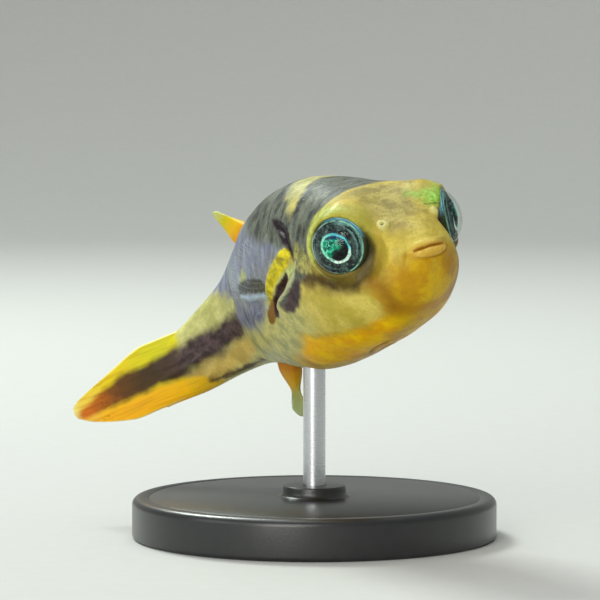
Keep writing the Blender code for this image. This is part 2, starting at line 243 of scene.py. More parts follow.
def smooth_curve(places, heights):
    """A smooth curve through its knots, as a function of the place along it."""
    places, heights = np.array(places, float), np.array(heights, float)
    steps = np.diff(places)
    rises = np.diff(heights) / steps
    slopes = np.empty(len(places))
    slopes[1:-1] = (rises[:-1] * steps[:-1] + rises[1:] * steps[1:]) / (steps[:-1] + steps[1:])
    slopes[0] = rises[0] + 0.5 * (rises[0] - slopes[1])
    slopes[-1] = rises[-1]

    def curve(place):
        place = np.clip(place, places[0], places[-1])
        i = np.clip(np.searchsorted(places, place, side="right") - 1, 0, len(steps) - 1)
        t = (place - places[i]) / steps[i]
        return ((1 + 2 * t) * (1 - t) ** 2 * heights[i] + t * (1 - t) ** 2 * steps[i] * slopes[i]
                + t * t * (3 - 2 * t) * heights[i + 1] + t * t * (t - 1) * steps[i] * slopes[i + 1])

    return curve


def smooth_curves(rows, power=1):
    """A smooth curve for each column of a table, along the first column raised to a power."""
    places, *columns = zip(*rows)
    return [smooth_curve(np.array(places) ** power, column) for column in columns]


# The square root of the share rounds off the snout.
back_height, belly_depth, half_width = smooth_curves(PROFILE, 0.5)


def directions(share):
    """Forward, left and up at a share of the spine, seen from the head."""
    turn = np.radians(TAIL_TURN * ease(share, TURN_FROM, TURN_TO))
    drop = np.radians(TAIL_DROP * ease(share, DROP_FROM, DROP_TO)
                      - TIP_LIFT * ease(share, LIFT_FROM, LIFT_TO))
    forward = np.stack((np.cos(drop) * np.cos(turn), np.cos(drop) * np.sin(turn), np.sin(drop)), -1)
    left = np.stack((-np.sin(turn), np.cos(turn), np.zeros_like(turn)), -1)
    return forward, left, np.cross(forward, left)


SPINE_STEPS = 400
spine_shares = np.linspace(0, 1, SPINE_STEPS + 1)
spine_steps = directions((np.arange(SPINE_STEPS) + 0.5) / SPINE_STEPS)[0] * LENGTH / SPINE_STEPS
spine = np.vstack((np.zeros(3), -np.cumsum(spine_steps, axis=0)))


def in_fish(share, left, up):
    """The point at a share along the spine, moved left and up by shares of the length."""
    share, left, up = (np.asarray(part, float) for part in (share, left, up))
    on_spine = np.stack([np.interp(share, spine_shares, spine[:, i]) for i in range(3)], axis=-1)
    _, to_left, to_up = directions(share)
    return on_spine + (to_left * left[..., None] + to_up * up[..., None]) * LENGTH


# Head directions to the room's: bank, nose up, then heading, with the held point over the rod.
held = in_fish(HELD_SHARE, 0, 0)
to_room = np.array(Matrix.Translation((0, 0, HELD_HEIGHT))
                   @ Matrix.Rotation(radians(HEADING), 4, "Z")
                   @ Matrix.Rotation(radians(-NOSE_UP), 4, "Y")
                   @ Matrix.Rotation(radians(LEFT_SIDE_UP), 4, "X")
                   @ Matrix.Translation(-Vector(held)))


def placed(points):
    """Points in the head's directions, moved to their place in the room, as a plain list."""
    return (points.reshape(-1, 3) @ to_room[:3, :3].T + to_room[:3, 3]).tolist()


def unit(vectors):
    """Vectors scaled to length 1."""
    return vectors / np.linalg.norm(vectors, axis=-1, keepdims=True)


def soft_most(one, two, softness):
    """The larger of two lengths, rounded off where they are close."""
    near = np.maximum(softness - np.abs(one - two), 0)
    return np.maximum(one, two) + near * near / (4 * softness)


def eye_axes(side):
    """The middle of a turret (1 is the left one), and ahead, above and the way the eye faces."""
    looks = unit(np.array((EYE_LOOKS[0], side * EYE_LOOKS[1], EYE_LOOKS[2])))
    above = unit(np.array((0, 0, 1)) - looks[2] * looks)
    ahead = unit(np.array((1, 0, 0)) - looks[0] * looks - above[0] * above)
    return in_fish(EYE[0], side * EYE[1], EYE[2]), ahead, above, looks


def bump(value, middle, width):
    """A smooth bump, 1 at its middle, gone about two widths away."""
    return np.exp(-((value - middle) / width) ** 2)


def near_angle(angle, middle, width):
    """A smooth bump in an angle given in degrees, which wraps round."""
    return bump((angle - middle + 180) % 360 - 180, 0, width)


def eye_view(points, side):
    """Where points lie as an eye sees them: distance from its axis and height over the plane of
    the lid's rim, and the angle round it: 0 above, 90 in front, 180 below, -90 behind."""
    eye, ahead, above, looks = eye_axes(side)
    offset = points - eye
    height = offset @ looks
    across = offset - height[..., None] * looks
    around = np.degrees(np.arctan2(across @ ahead, across @ above))
    return np.linalg.norm(across, axis=-1), height - LID_EDGE * LENGTH, around


def round_eye(points, side):
    """Push the hide out into a turret round an eye, cut off in a soft plane at the lid's rim."""
    eye, _, _, looks = eye_axes(side)
    turret, softness = TURRET * LENGTH, TURRET_SOFTNESS * LENGTH
    away = np.linalg.norm(points - eye, axis=-1, keepdims=True)
    points = eye + (points - eye) * soft_most(away, turret, softness) / away
    far, height, around = eye_view(points, side)
    dish = LID_DISH * turret * np.maximum(far / turret - 1, 0) ** 2
    dip = LID_DIP * LENGTH * near_angle(around, DIP_AT, DIP_WIDTH)
    cut_off = -soft_most(-height, dip - dish, softness * 0.4)
    return points + (cut_off - height)[..., None] * looks


# the lid: a soft roll round the eyeball, thickest above and behind, a crease outside it, and the
# well behind the eyeball; all in metres
OPENING, OPENING_LIP, LID_WELL = 0.00146, 0.00008, 0.0008
ROLL_AT, ROLL_WIDTH, ROLL_HEIGHT = 0.00157, 0.00009, 0.00006
CREASE_AT, CREASE_WIDTH, CREASE_DEPTH = 0.00215, 0.00013, 0.00009


def roll_lid(points, side):
    """Finish the lid of an eye."""
    far, height, around = eye_view(points, side)
    facing = ease(height, -0.0014, -0.0010) * (far < 0.003)
    thick = 0.35 + 0.9 * near_angle(around, -45, 70)
    deep = 0.15 + 0.9 * near_angle(around, -120, 50)
    lift = ROLL_HEIGHT * thick * bump(far, ROLL_AT, ROLL_WIDTH)
    lift = lift - CREASE_DEPTH * deep * bump(far, CREASE_AT, CREASE_WIDTH)
    lift = lift - LID_WELL * (1 - ease(far, OPENING - OPENING_LIP, OPENING))
    return points + (lift * facing)[..., None] * eye_axes(side)[3]


# the mouth: a slit with a slight arch, between an upper and a lower lip inside one oval crease
SLIT_HALF_WIDTH, SLIT_ARCH, SLIT_HEIGHT = 0.0262, 0.0012, 0.0052  # shares, as all of its sizes
SLIT_GAPE, SLIT_DEPTH = 0.0025, 0.0048
LIP_OVAL = (0.0350, 0.0120, 0.0020)  # half width, half height and height of the oval's middle
LIP_CREASE = 0.0036
CORNER_AT, CORNER_DEPTH = (0.0390, 0.0010), 0.0028  # the groove outside each corner
PLEAT_AT, PLEAT_DEPTH = (0.0190, -0.0035), 0.0016  # the pleats of the lower lip
# nostrils: share along, left and up of each, radius of the tube's rim and of its hole
NOSTRILS = ((0.0600, 0.0550, 0.0490), (0.0510, -0.0410, 0.0550))
NOSTRIL_RIM, NOSTRIL_HOLE = 0.0084, 0.0030
NOSTRIL_HEIGHT, NOSTRIL_DEPTH = 0.0068, 0.0100


def mouth_places(left, up):
    """How far points lie above the mouth's slit, and how far out from the lips' middle (1 is on
    their oval edge)."""
    slit_up = SLIT_HEIGHT + SLIT_ARCH * (1 - (left / SLIT_HALF_WIDTH) ** 2)
    return up - slit_up, np.hypot(left / LIP_OVAL[0], (up - LIP_OVAL[2]) / LIP_OVAL[1])


def from_place(share, left, up, place):
    """Distance from a (share along, left, up) place, as a share."""
    return np.linalg.norm(np.stack((share - place[0], left - place[1], up - place[2])), axis=0)


def body_surface(share, angle):
    """Points of the hide at shares along the spine and angles round it (0 is left, 90 is up),
    with how far left and up of the spine they started."""
    root = np.sqrt(share)
    across, along = np.cos(angle), np.sin(angle)
    power = 2 / SECTION_POWER
    thin = 1 - 0.93 * ease(share, THIN_FROM, HIDE_END)
    flat = 1 - 0.16 * ease(share, THIN_FROM, HIDE_END)
    left = np.sign(across) * half_width(root) * thin * np.abs(across) ** power
    height = np.where(along > 0, back_height(root), belly_depth(root)) * flat
    up = np.sign(along) * height * np.abs(along) ** power
    forward, to_left, to_up = directions(share)
    outward = to_left * across[..., None] + to_up * along[..., None]
    outward = unit(outward + forward * (SNOUT_LEAN * np.exp(-share / SNOUT_REACH))[..., None])

    def swollen(points, swell):
        return points + outward * (swell * LENGTH)[..., None]

    points = in_fish(share, left, up)
    for lip_up, half, stand in LIPS:
        fade = ((up - lip_up) / half) ** 2 + (left / MOUTH_HALF_WIDTH) ** 4
        points = swollen(points, stand * np.exp(-fade))
    for where, left_at, up_at, reach, swell in SWELLINGS:
        away = np.linalg.norm(points - in_fish(where, left_at, up_at), axis=-1) / (reach * LENGTH)
        points = swollen(points, swell * np.exp(-away * away))
    for side in (1, -1):
        points = round_eye(points, side)
    # mouth
    over_slit, oval = mouth_places(left, up)
    slit = bump(over_slit, 0, SLIT_GAPE) * np.exp(-(left / SLIT_HALF_WIDTH) ** 6)
    lower = 0.2 + 0.8 * ease(-up, -0.010, 0.006)
    snout = 1 - ease(share, 0.02, 0.05)
    corner = bump(np.abs(left) + 0.25 * up, CORNER_AT[0], 0.0027) * bump(up, CORNER_AT[1], 0.0090)
    pleat = bump(np.abs(left) - 0.8 * up, PLEAT_AT[0], 0.0016) * bump(up, PLEAT_AT[1], 0.0042)
    inward = (SLIT_DEPTH * slit + LIP_CREASE * lower * bump(oval, 1, 0.15)
              + CORNER_DEPTH * corner + PLEAT_DEPTH * pleat) * snout
    points = swollen(points, -inward)
    # nostrils
    for place in NOSTRILS:
        away = from_place(share, left, up, place)
        rise = NOSTRIL_HEIGHT * np.exp(-(away / NOSTRIL_RIM) ** 4)
        points = swollen(points, rise - NOSTRIL_DEPTH * bump(away, 0, NOSTRIL_HOLE))
    for side in (1, -1):
        points = roll_lid(points, side)
    return points, left, up, outward


ring_shares = np.linspace(0.0002 ** 0.5, HIDE_END ** 0.5, RINGS) ** 2
turns = np.arange(AROUND) / AROUND
turns = turns + SIDE_CROWDING * np.sin(4 * pi * turns) / (4 * pi)
share, angle = np.meshgrid(ring_shares, 2 * pi * turns - 0.5 * pi, indexing="ij")
# the points crowd together where an eye's axis leaves the hide, as the turret spreads them again
EYE_ON_HIDE = (0.107, radians(25.7))  # share along, and angle above the side
CROWDING, CROWD_REACH, HEAD_GIRTH = 0.62, 0.0015, 0.0032
for middle_angle in (EYE_ON_HIDE[1], pi - EYE_ON_HIDE[1]):
    off_share = share - EYE_ON_HIDE[0]
    off_angle = (angle - middle_angle + pi) % (2 * pi) - pi
    away = np.hypot(off_share * LENGTH, off_angle * HEAD_GIRTH)
    closer = CROWDING * bump(away, 0, CROWD_REACH)
    share = share - off_share * closer
    angle = angle - off_angle * closer
hide_points, left, up, outward = body_surface(share, angle)

# -------------------------------- the hide: folds and markings
# Folds of soft flesh and patches of pigment, alike on both sides; some of the patches are painted
# shade in creases and hollows, and one is a painted highlight on a ridge. Each is laid out by share
# along the spine, in thousandths, and degrees down from the middle of the back (0) past the side
# (90) to the belly (180), with widths, heights and distances in millimetres.
signed_degrees = (np.degrees(angle) + 90) % 360 - 180
degrees = np.abs(signed_degrees)
root = np.sqrt(share)
girth = LENGTH * 0.5 * (half_width(root) + 0.5 * (back_height(root) + belly_depth(root)))
per_degree = np.maximum(girth, 0.03 * LENGTH) * pi / 180


def smooth_path(knots, closed, steps=6):
    """Points along a smooth curve through a few (thousandths of a share, degrees) knots."""
    knots = np.array(knots) * (0.001, 1)
    if closed:
        before, starts, after, last = (np.roll(knots, shift, axis=0) for shift in (1, 0, -1, -2))
    else:
        padded = np.vstack((2 * knots[0] - knots[1], knots, 2 * knots[-1] - knots[-2]))
        before, starts, after, last = padded[:-3], padded[1:-2], padded[2:-1], padded[3:]
    part = (np.arange(steps) / steps)[:, None, None]
    points = 0.5 * (2 * starts + (after - before) * part
                    + (2 * before - 5 * starts + 4 * after - last) * part ** 2
                    + (3 * starts - before - 3 * after + last) * part ** 3)
    points = points.transpose(1, 0, 2).reshape(-1, 2)
    return points if closed else np.vstack((points, knots[-1]))


def distance_over_hide(starts, ends):
    """How far each point of the hide is from a path, in mm, and how far along it (0 to 1)."""
    nearest, progress = np.full(share.shape, 1), np.zeros(share.shape)
    for i, (start, end) in enumerate(zip(starts, ends)):
        along, down = (end[0] - start[0]) * LENGTH, (end[1] - start[1]) * per_degree
        from_start, below = (share - start[0]) * LENGTH, (degrees - start[1]) * per_degree
        part = (from_start * along + below * down) / (along ** 2 + down ** 2 + 1e-18)
        part = np.clip(part, 0, 1)
        away = np.hypot(from_start - part * along, below - part * down)
        progress = np.where(away < nearest, (i + part) / len(starts), progress)
        nearest = np.minimum(nearest, away)
    return nearest / MM, progress


def patch(*knots):
    """Distance into a patch with a smooth outline: above 0 inside it."""
    outline = smooth_path(knots, True)
    ends = np.roll(outline, -1, axis=0)
    inside = np.zeros(share.shape, bool)
    for start, end in zip(outline, ends):
        spans = (start[1] > degrees) != (end[1] > degrees)
        slope = (end[0] - start[0]) / (end[1] - start[1] + 1e-12)
        inside ^= spans & (share < start[0] + slope * (degrees - start[1]))
    away, _ = distance_over_hide(outline, ends)
    return np.where(inside, away, -away)


def stripe(half, *knots):
    """Distance into a stripe of that half width along a path."""
    path = smooth_path(knots, False)
    return half - distance_over_hide(path[:-1], path[1:])[0]


def fold(height, half, *knots):
    """A ridge (or with a height below 0 a groove) along a path, fading out at both ends."""
    path = smooth_path(knots, False)
    away, progress = distance_over_hide(path[:-1], path[1:])
    return height * bump(away, 0, half) * ease(progress, 0, 0.18) * ease(-progress, -1, -0.82)


relief = (
    fold(-0.22, 0.16, (312, 50), (274, 57), (258, 64), (243, 72), (240, 79), (250, 84))
    + fold(-0.30, 0.13, (262, 84), (282, 89), (308, 92), (335, 96), (352, 103))
    + fold(0.12, 0.12, (228, 78), (241, 84), (262, 89), (290, 93), (325, 97), (338, 104))
    + fold(0.30, 0.26, (250, 70), (272, 73), (300, 80), (330, 87), (366, 93))
    + fold(0.10, 0.12, (350, 91), (395, 90), (450, 89), (520, 84))
    + fold(-0.07, 0.10, (262, 80), (285, 84), (310, 88), (333, 91))
    + fold(-0.09, 0.10, (270, 177), (240, 173), (209, 171), (186, 173), (170, 178))
    + fold(0.06, 0.12, (270, 182), (240, 178), (209, 176), (180, 180))
    + fold(-0.03, 0.10, (30, 100), (24, 120), (26, 150), (28, 182))
    + fold(-0.02, 0.09, (45, 112), (40, 130), (44, 155), (46, 182))
)
# slow unevenness of the flesh under the hide
waves = np.sin(share * 61 + degrees * 0.09) + np.sin(share * 37 - degrees * 0.13 + 1.7)
relief = relief + 0.012 * waves * ease(share, 0.03, 0.12) * (1 - ease(share, 0.7, 0.8))
hide_points = hide_points + outward * (relief * MM)[..., None]

# tail fin: share along the spine, height of its upper and of its lower edge, and of its brown band
TAIL_FROM = 0.760
TAIL_OUTLINE = (
    (0.760, 0.056, -0.058, 0.034, -0.022),
    (0.790, 0.061, -0.054, 0.034, -0.019),
    (0.820, 0.065, -0.051, 0.036, -0.013),
    (0.845, 0.067, -0.049, 0.035, -0.009),
    (0.870, 0.063, -0.047, 0.035, -0.008),
    (0.900, 0.054, -0.046, 0.035, -0.009),
    (0.930, 0.044, -0.038, 0.026, -0.010),
    (0.960, 0.033, -0.028, 0.015, -0.012),
    (0.985, 0.021, -0.016, 0.004, -0.013),
    (1.000, 0.010, -0.004, -0.002, -0.012),
)
tail_high, tail_low, band_high, band_low = smooth_curves(TAIL_OUTLINE)


def tail_paint(where, height_up):
    """What the tail's paint goes by, at shares along and up: how far along the fin, and distances
    into its brown band and below it."""
    band = np.minimum(band_high(where) - height_up, height_up - band_low(where))
    return {"tail_along": (where - TAIL_FROM) / (1 - TAIL_FROM), "tail_band": band * LENGTH_MM,
            "tail_below": (band_low(where) - height_up) * LENGTH_MM}


# the yellow of the tail fin starts on the stalk, further forward at its middle
yellow_from = np.interp(degrees, (0, 30, 56, 85, 110, 125, 154, 180),
                        (0.766, 0.772, 0.779, 0.800, 0.790, 0.765, 0.747, 0.744))
over_slit, lip_oval = mouth_places(left, up)
from_lip_edge = (1 - lip_oval) * LIP_OVAL[1] * LENGTH_MM
on_snout = share < 0.06
from_nostril = np.min([from_place(share, left, up, place) for place in NOSTRILS], axis=0)
OUTSIDE = -5  # well away from a marking
MARKINGS = dict(
    slate_band=patch((162, -14), (156, 12), (148, 26), (152, 38), (168, 48), (178, 60), (184, 72),
        (186, 80), (212, 87), (258, 96), (305, 101), (318, 96), (276, 90), (244, 82), (234, 74),
        (241, 64), (250, 50), (254, 32), (268, 14), (292, -14)),
    slate_saddle=patch((335, -14), (330, 8), (304, 28), (276, 38), (246, 48), (238, 58), (250, 72),
        (290, 66), (340, 62), (400, 56), (450, 40), (470, 18), (480, -14)),
    flank=patch((300, 60), (270, 68), (300, 76), (360, 88), (390, 98), (430, 104), (520, 108),
        (590, 104), (630, 90), (610, 76), (630, 66), (665, 38), (680, 10), (700, -14), (460, -14),
        (440, 30), (370, 52)),
    stalk_cream=patch((690, -14), (680, 20), (655, 42), (625, 66), (590, 78), (600, 84), (680, 88),
        (800, 88), (900, 88), (900, -14)),
    side_band=patch((597, 95), (613, 84), (650, 78), (690, 73), (720, 67), (770, 61), (800, 62),
        (880, 62), (880, 106), (790, 106), (741, 103), (711, 108), (670, 104), (618, 106)),
    stalk_tan=patch((600, 108), (660, 104), (720, 106), (800, 106), (800, 152), (720, 148), (660, 138),
        (610, 126)),
    cheek=patch((224, 94), (175, 95), (128, 97), (92, 108), (78, 124), (88, 137), (124, 138),
        (198, 130), (282, 120), (350, 113), (345, 106), (315, 101), (275, 97)),
    amber=patch((-20, 96), (28, 95), (38, 106), (60, 114), (74, 126), (84, 140), (124, 140), (198, 132),
        (282, 122), (340, 128), (400, 140), (434, 150), (455, 192), (-20, 192)),
    # painted shade: darker amber on the lower face between cheek and chin, out of the light from above
    amber_painted_shade=stripe(0.40, (66, 104), (54, 116), (56, 130), (64, 144)),
    belly_gold=patch((98, 144), (150, 141), (200, 137), (270, 128), (330, 127), (372, 138), (352, 156),
        (280, 168), (200, 170), (104, 162)),
    # painted shade in the hollow between the eye and the mouth, running down from the nostril
    face_painted_shade=stripe(0.30, (58, 58), (56, 70), (50, 84), (46, 95)),
    gill_blotch=patch((226, 87), (246, 87), (264, 91), (284, 95), (306, 100), (298, 104), (270, 103),
        (246, 98), (230, 92)),
    under_eye=stripe(0.42, (205, 87), (170, 89), (127, 95), (92, 99), (72, 91)),
    crown=patch((150, -14), (140, 14), (105, 26), (70, 30), (45, 24), (40, -14)),
    # painted shade inside the gill slit
    gill_slit_shadow=patch((322, 48), (298, 48), (276, 51), (255, 56), (237, 65), (230, 73), (238, 77),
        (250, 71), (264, 66), (281, 61), (302, 54)),
    # painted shade: dark in the groove under the pectoral fin's root, brown in the hollow below it
    hollow_shadow_dark=stripe(0.21, (266, 85), (284, 89), (308, 92), (335, 96), (352, 102)),
    hollow_shadow_brown=patch((330, 93), (345, 94), (370, 96), (392, 101), (396, 107), (372, 106), (345, 101)),
    gill_rim=stripe(0.10, (228, 77), (240, 84), (262, 89), (290, 93), (325, 97), (338, 105)),
    gill_pale=patch((245, 78), (262, 81), (285, 85), (302, 89), (285, 90), (262, 87), (248, 83)),
    pad=patch((244, 70), (256, 67), (272, 71), (290, 76), (312, 82), (338, 88), (364, 93), (356, 97),
        (330, 92), (300, 87), (276, 82), (254, 78)),
    # painted highlight along the ridge under the pectoral fin's lower edge
    ridge_highlight=stripe(0.07, (365, 91), (395, 90), (450, 89), (500, 85)),
    # painted shadow of the pectoral fin, nearly black, in its axil
    axil_shadow=patch((360, 89), (376, 83), (420, 80), (462, 78), (506, 78), (502, 84), (440, 87),
        (385, 90)),
    flank_spot=patch((440, 76), (462, 72), (486, 75), (476, 81), (448, 81)),
    lower_blots=patch((400, 95), (470, 92), (545, 89), (590, 94), (540, 99), (470, 103), (425, 103)),
    # painted shade in the crease of the belly's fold
    belly_fold=stripe(0.06, (262, 176), (240, 173), (209, 171), (186, 173)),
    belly_fold_edge=stripe(0.10, (255, 179), (235, 177), (209, 175), (186, 178)),
    underside_marks=stripe(0.20, (760, 140), (705, 152), (665, 155), (625, 150)),
    eye_streaks=patch((190, 72), (178, 79), (176, 84), (200, 84), (222, 80), (232, 72), (222, 66),
        (205, 68)),
    tail_yellow=(share - yellow_from) * LENGTH_MM,
    lips=np.where(on_snout, from_lip_edge, OUTSIDE),
    # painted shadow inside the mouth's slit
    slit=np.where(on_snout & (np.abs(left) < SLIT_HALF_WIDTH * 1.08),
                  (SLIT_GAPE * 0.75 - np.abs(over_slit)) * LENGTH_MM, OUTSIDE),
    # painted shade in the crease round the lower lip
    lip_crease_shadow=np.where(on_snout & (up < 0.004), 0.07 - np.abs(from_lip_edge), OUTSIDE),
    nostril=(NOSTRIL_RIM - from_nostril) * LENGTH_MM,
    # painted shade in each nostril's hole
    nostril_hole_shadow=(NOSTRIL_HOLE * 0.9 - from_nostril) * LENGTH_MM,
    **tail_paint(share, up),
)

# parts of a ring round each eye: greatest half width, distance from the eye's axis, and the angle
# where the part is widest with its reach; the lime of the lid, partly a painted highlight, lies
# above and behind where light falls on its roll, and painted shade lies below the eye and in the
# lid's front dip; and lines of painted shade in the creases beside the left eye: angle, half length
LID_MARKS = (("lid", 0.80, 1.82, -56, 76), ("lid_olive", 0.66, 1.70, 45, 60),
             ("lid_painted_shade", 0.74, 1.62, 172, 92), ("lid_front_shadow", 0.50, 1.50, 112, 46))
BROW_LINES = ((66, 0.30), (75, 0.20))
for side in (1, -1):
    far, height, around = eye_view(hide_points, side)
    off = 4 * (1 - ease(height, -0.0023, -0.0019))
    far = far / MM
    for label, half, at, middle, width in LID_MARKS:
        ring = half * near_angle(around, middle, width) - 0.22 - np.abs(far - at) - off
        MARKINGS[label] = np.maximum(MARKINGS.get(label, OUTSIDE), ring)
    if side > 0:
        along = far * pi / 180
        # lime green of the left lid with a painted sparkling sheen, above and ahead of the eye
        MARKINGS["eye_green"] = 0.34 - np.hypot(far - 1.84, (around - 50) * along * 0.62) - off
        # painted shade of two creases beside the left eye
        lines = [0.045 - np.abs(around - line) * along - 4 * np.maximum(np.abs(far - 1.85) - half, 0)
                 for line, half in BROW_LINES]
        MARKINGS["brow_crease_shadows"] = np.max(lines, axis=0) - off


def face_out(mesh):
    """Turn every face of a closed mesh outwards and shade it smooth."""
    shape = bmesh.new()
    shape.from_mesh(mesh)
    bmesh.ops.recalc_face_normals(shape, faces=shape.faces)
    shape.to_mesh(mesh)
    shape.free()
    mesh.shade_smooth()


def set_attribute(mesh, name, values, kind="FLOAT"):
    """Store one number (or with FLOAT_VECTOR three) for each point of a mesh."""
    made = mesh.attributes.new(name, kind, "POINT")
    values = np.ascontiguousarray(values, np.float32).ravel()
    made.data.foreach_set("value" if kind == "FLOAT" else "vector", values)


def grid_faces(rows, columns):
    """The number of each point in rows that close on themselves, and the faces between them."""
    numbers = np.arange(rows * columns).reshape(rows, columns)
    beside = np.roll(numbers, -1, axis=1)
    quads = np.stack((numbers[:-1], beside[:-1], beside[1:], numbers[1:]), axis=-1)
    return numbers.tolist(), quads.reshape(-1, 4).tolist()


rings, hide_faces = grid_faces(RINGS, AROUND)
for ring, pole in ((rings[0], share.size), (rings[-1], share.size + 1)):
    hide_faces += [(one, pole, other) for one, other in zip(ring, ring[1:] + ring[:1])]
snout_point = body_surface(np.array([[1e-9]]), np.array([[0]]))[0][0, 0]
hide_places = np.vstack((hide_points.reshape(-1, 3), snout_point, hide_points[-1].mean(axis=0)))
hide_mesh = bpy.data.meshes.new("hide")
hide_mesh.from_pydata(placed(hide_places), [], hide_faces)
face_out(hide_mesh)
for label, values in MARKINGS.items():
    set_attribute(hide_mesh, label, np.append(values, (values[0].mean(), values[-1].mean())))
lie = np.stack((share * LENGTH_MM, signed_degrees * per_degree / MM, 0 * share), axis=-1)
set_attribute(hide_mesh, "lie", np.vstack((lie.reshape(-1, 3), lie[0, 0], lie[-1, -1])), "FLOAT_VECTOR")

# -------------------------------- the hide: its finish
# Wet skin with a thin slime coat: light gets a little way in, and pigment lies in layers, gold
# and cream below, slate saddles over them, all broken up by fine grain and tiny prickles. Over
# them lie painted shade in creases, hollows and on the lower face, and painted highlights and sheen
# on a ridge, the slate and the lids.


# Each of the functions below adds nodes to the tree of the sockets it is given, and returns sockets.


def maths(operation, one, two=0):
    """One sum of sockets and numbers."""
    tree = (one if isinstance(one, bpy.types.NodeSocket) else two).id_data
    return add_node(tree, "ShaderNodeMath", {0: one, 1: two}, operation=operation).outputs[0]


def times(one, two):
    return maths("MULTIPLY", one, two)


def less(one, two):
    return maths("SUBTRACT", one, two)


def parts(vector):
    """The three parts of a vector."""
    return add_node(vector.id_data, "ShaderNodeSeparateXYZ", {0: vector}).outputs


def joined(tree, *values):
    """A vector from its parts."""
    return add_node(tree, "ShaderNodeCombineXYZ", dict(enumerate(values))).outputs[0]


def attribute(tree, name, output="Fac"):
    """What the mesh has stored under a name."""
    return add_node(tree, "ShaderNodeAttribute", attribute_name=name).outputs[output]


def noise(place, scale=1, detail=3, roughness=0.5, distortion=0):
    """Soft noise at a place, from 0 to 1."""
    return add_node(place.id_data, "ShaderNodeTexNoise", {
        "Vector": place, "Scale": scale, "Detail": detail, "Roughness": roughness,
        "Distortion": distortion}).outputs["Fac"]


def blend(factor, under, over, kind="MIX"):
    """Two colours mixed."""
    return add_node(factor.id_data, "ShaderNodeMix", {0: factor, 6: paint(under), 7: paint(over)},
                    data_type="RGBA", blend_type=kind).outputs[2]


def map_range(value, low, high, start=0, end=1, kind="LINEAR"):
    """A value taken from one range to another."""
    return add_node(value.id_data, "ShaderNodeMapRange", {0: value, 1: low, 2: high, 3: start, 4: end},
                    interpolation_type=kind).outputs[0]


def smooth_step(value, low, high):
    """0 below low, 1 above high, and a smooth rise between them."""
    return map_range(value, low, high, kind="SMOOTHSTEP")


def millimetres(tree):
    """The place on the piece in millimetres, for patterns at their true size."""
    place = add_node(tree, "ShaderNodeTexCoord").outputs["Object"]
    return add_node(tree, "ShaderNodeVectorMath", {0: place, "Scale": 1000}, operation="SCALE").outputs[0]


def roughen(surface, height, strength, depth):
    """Raise a surface's own bumps, of a depth in metres."""
    made = add_node(surface.id_data, "ShaderNodeBump", {
        "Strength": strength, "Distance": depth, "Height": height})
    feed(surface, "Normal", made.outputs["Normal"])


def shader_group(name, inputs, output, output_kind):
    """An empty shader node group with named number or colour inputs and one output."""
    tree = bpy.data.node_groups.new(name, "ShaderNodeTree")
    for label, value in inputs.items():
        kind = "NodeSocketColor" if isinstance(value, tuple) else "NodeSocketFloat"
        tree.interface.new_socket(name=label, in_out="INPUT", socket_type=kind).default_value = value
    tree.interface.new_socket(name=output, in_out="OUTPUT", socket_type=output_kind)
    return tree, tree.nodes.new("NodeGroupInput").outputs, tree.nodes.new("NodeGroupOutput")


# Shader group: a mask from the distance into a marking, with a soft and ragged edge.
edge_group, edge, edge_out = shader_group("ragged edge", {
    "Distance": 0, "Softness": 0.1, "Raggedness": 0.2, "Grain": 2}, "Mask", "NodeSocketFloat")
edge_noise = less(noise(millimetres(edge_group), edge["Grain"], 2.5, 0.55), 0.5)
edge_shift = times(edge_noise, times(edge["Raggedness"], 4))
feed(edge_out, "Mask", smooth_step(
    maths("ADD", edge["Distance"], edge_shift), times(edge["Softness"], -1), edge["Softness"]))

# Shader group: two shades of one pigment, mottled, with fine dark and light grains.
pigment_group, shades, pigment_out = shader_group("mottled pigment", {
    "Shade": colour(180, 160, 80), "Dark shade": colour(120, 100, 60), "Patch size": 1, "Grain": 0.5},
    "Color", "NodeSocketColor")
pigment_place = millimetres(pigment_group)
patches = noise(pigment_place, maths("DIVIDE", 1, shades["Patch size"]), 6, 0.62)
grains = smooth_step(noise(pigment_place, 7.5, 3, 0.7), 0.44, 0.66)
mottled = blend(smooth_step(patches, 0.38, 0.62), shades["Dark shade"], shades["Shade"])
feed(pigment_out, "Color", blend(times(grains, shades["Grain"]), mottled, shades["Dark shade"]))


def grouped(tree, group, **values):
    """A shader group placed in a tree with its own values."""
    values = {label.replace("_", " ").capitalize(): paint(value) for label, value in values.items()}
    return add_node(tree, "ShaderNodeGroup", values, node_tree=group).outputs[0]


# Shader group: the tail fin's yellow, its brown band and its pale edge.
tail_group, _, tail_out = shader_group("tail fin paint", {}, "Color", "NodeSocketColor")
along_fin, tail_band, tail_below = (
    attribute(tail_group, name) for name in ("tail_along", "tail_band", "tail_below"))
tail_wander = times(less(noise(millimetres(tail_group), 1.6, 4), 0.5), 0.3)
tail_along = maths("ADD", along_fin, tail_wander)
tail_upper = ramp(tail_along, (
    (0, (206, 196, 40)), (0.30, (212, 206, 8)), (0.70, (232, 204, 14)), (1, (238, 206, 90))))
tail_lower = ramp(tail_along, (
    (0, (214, 176, 40)), (0.25, (240, 182, 10)), (0.80, (244, 176, 8)), (1, (240, 190, 70))))
tail_brown = ramp(tail_along, (
    (0, (84, 68, 68)), (0.35, (66, 50, 26)), (0.62, (98, 62, 8)), (0.94, (206, 112, 0))))
tail_edge = grouped(tail_group, edge_group, distance=tail_band, softness=0.24, raggedness=0.10, grain=1.2)
tail_lines = noise(joined(tail_group, times(along_fin, 2.6), times(tail_below, 5.5)), distortion=0.3)
tail_yellow = blend(smooth_step(tail_below, -0.4, 0.4), tail_upper, tail_lower)
tail_colour = blend(tail_edge, tail_yellow, tail_brown)
feed(tail_out, "Color", blend(times(smooth_step(tail_lines, 0.44, 0.66), 0.36), tail_colour,
                              (196, 176, 130), "MULTIPLY"))

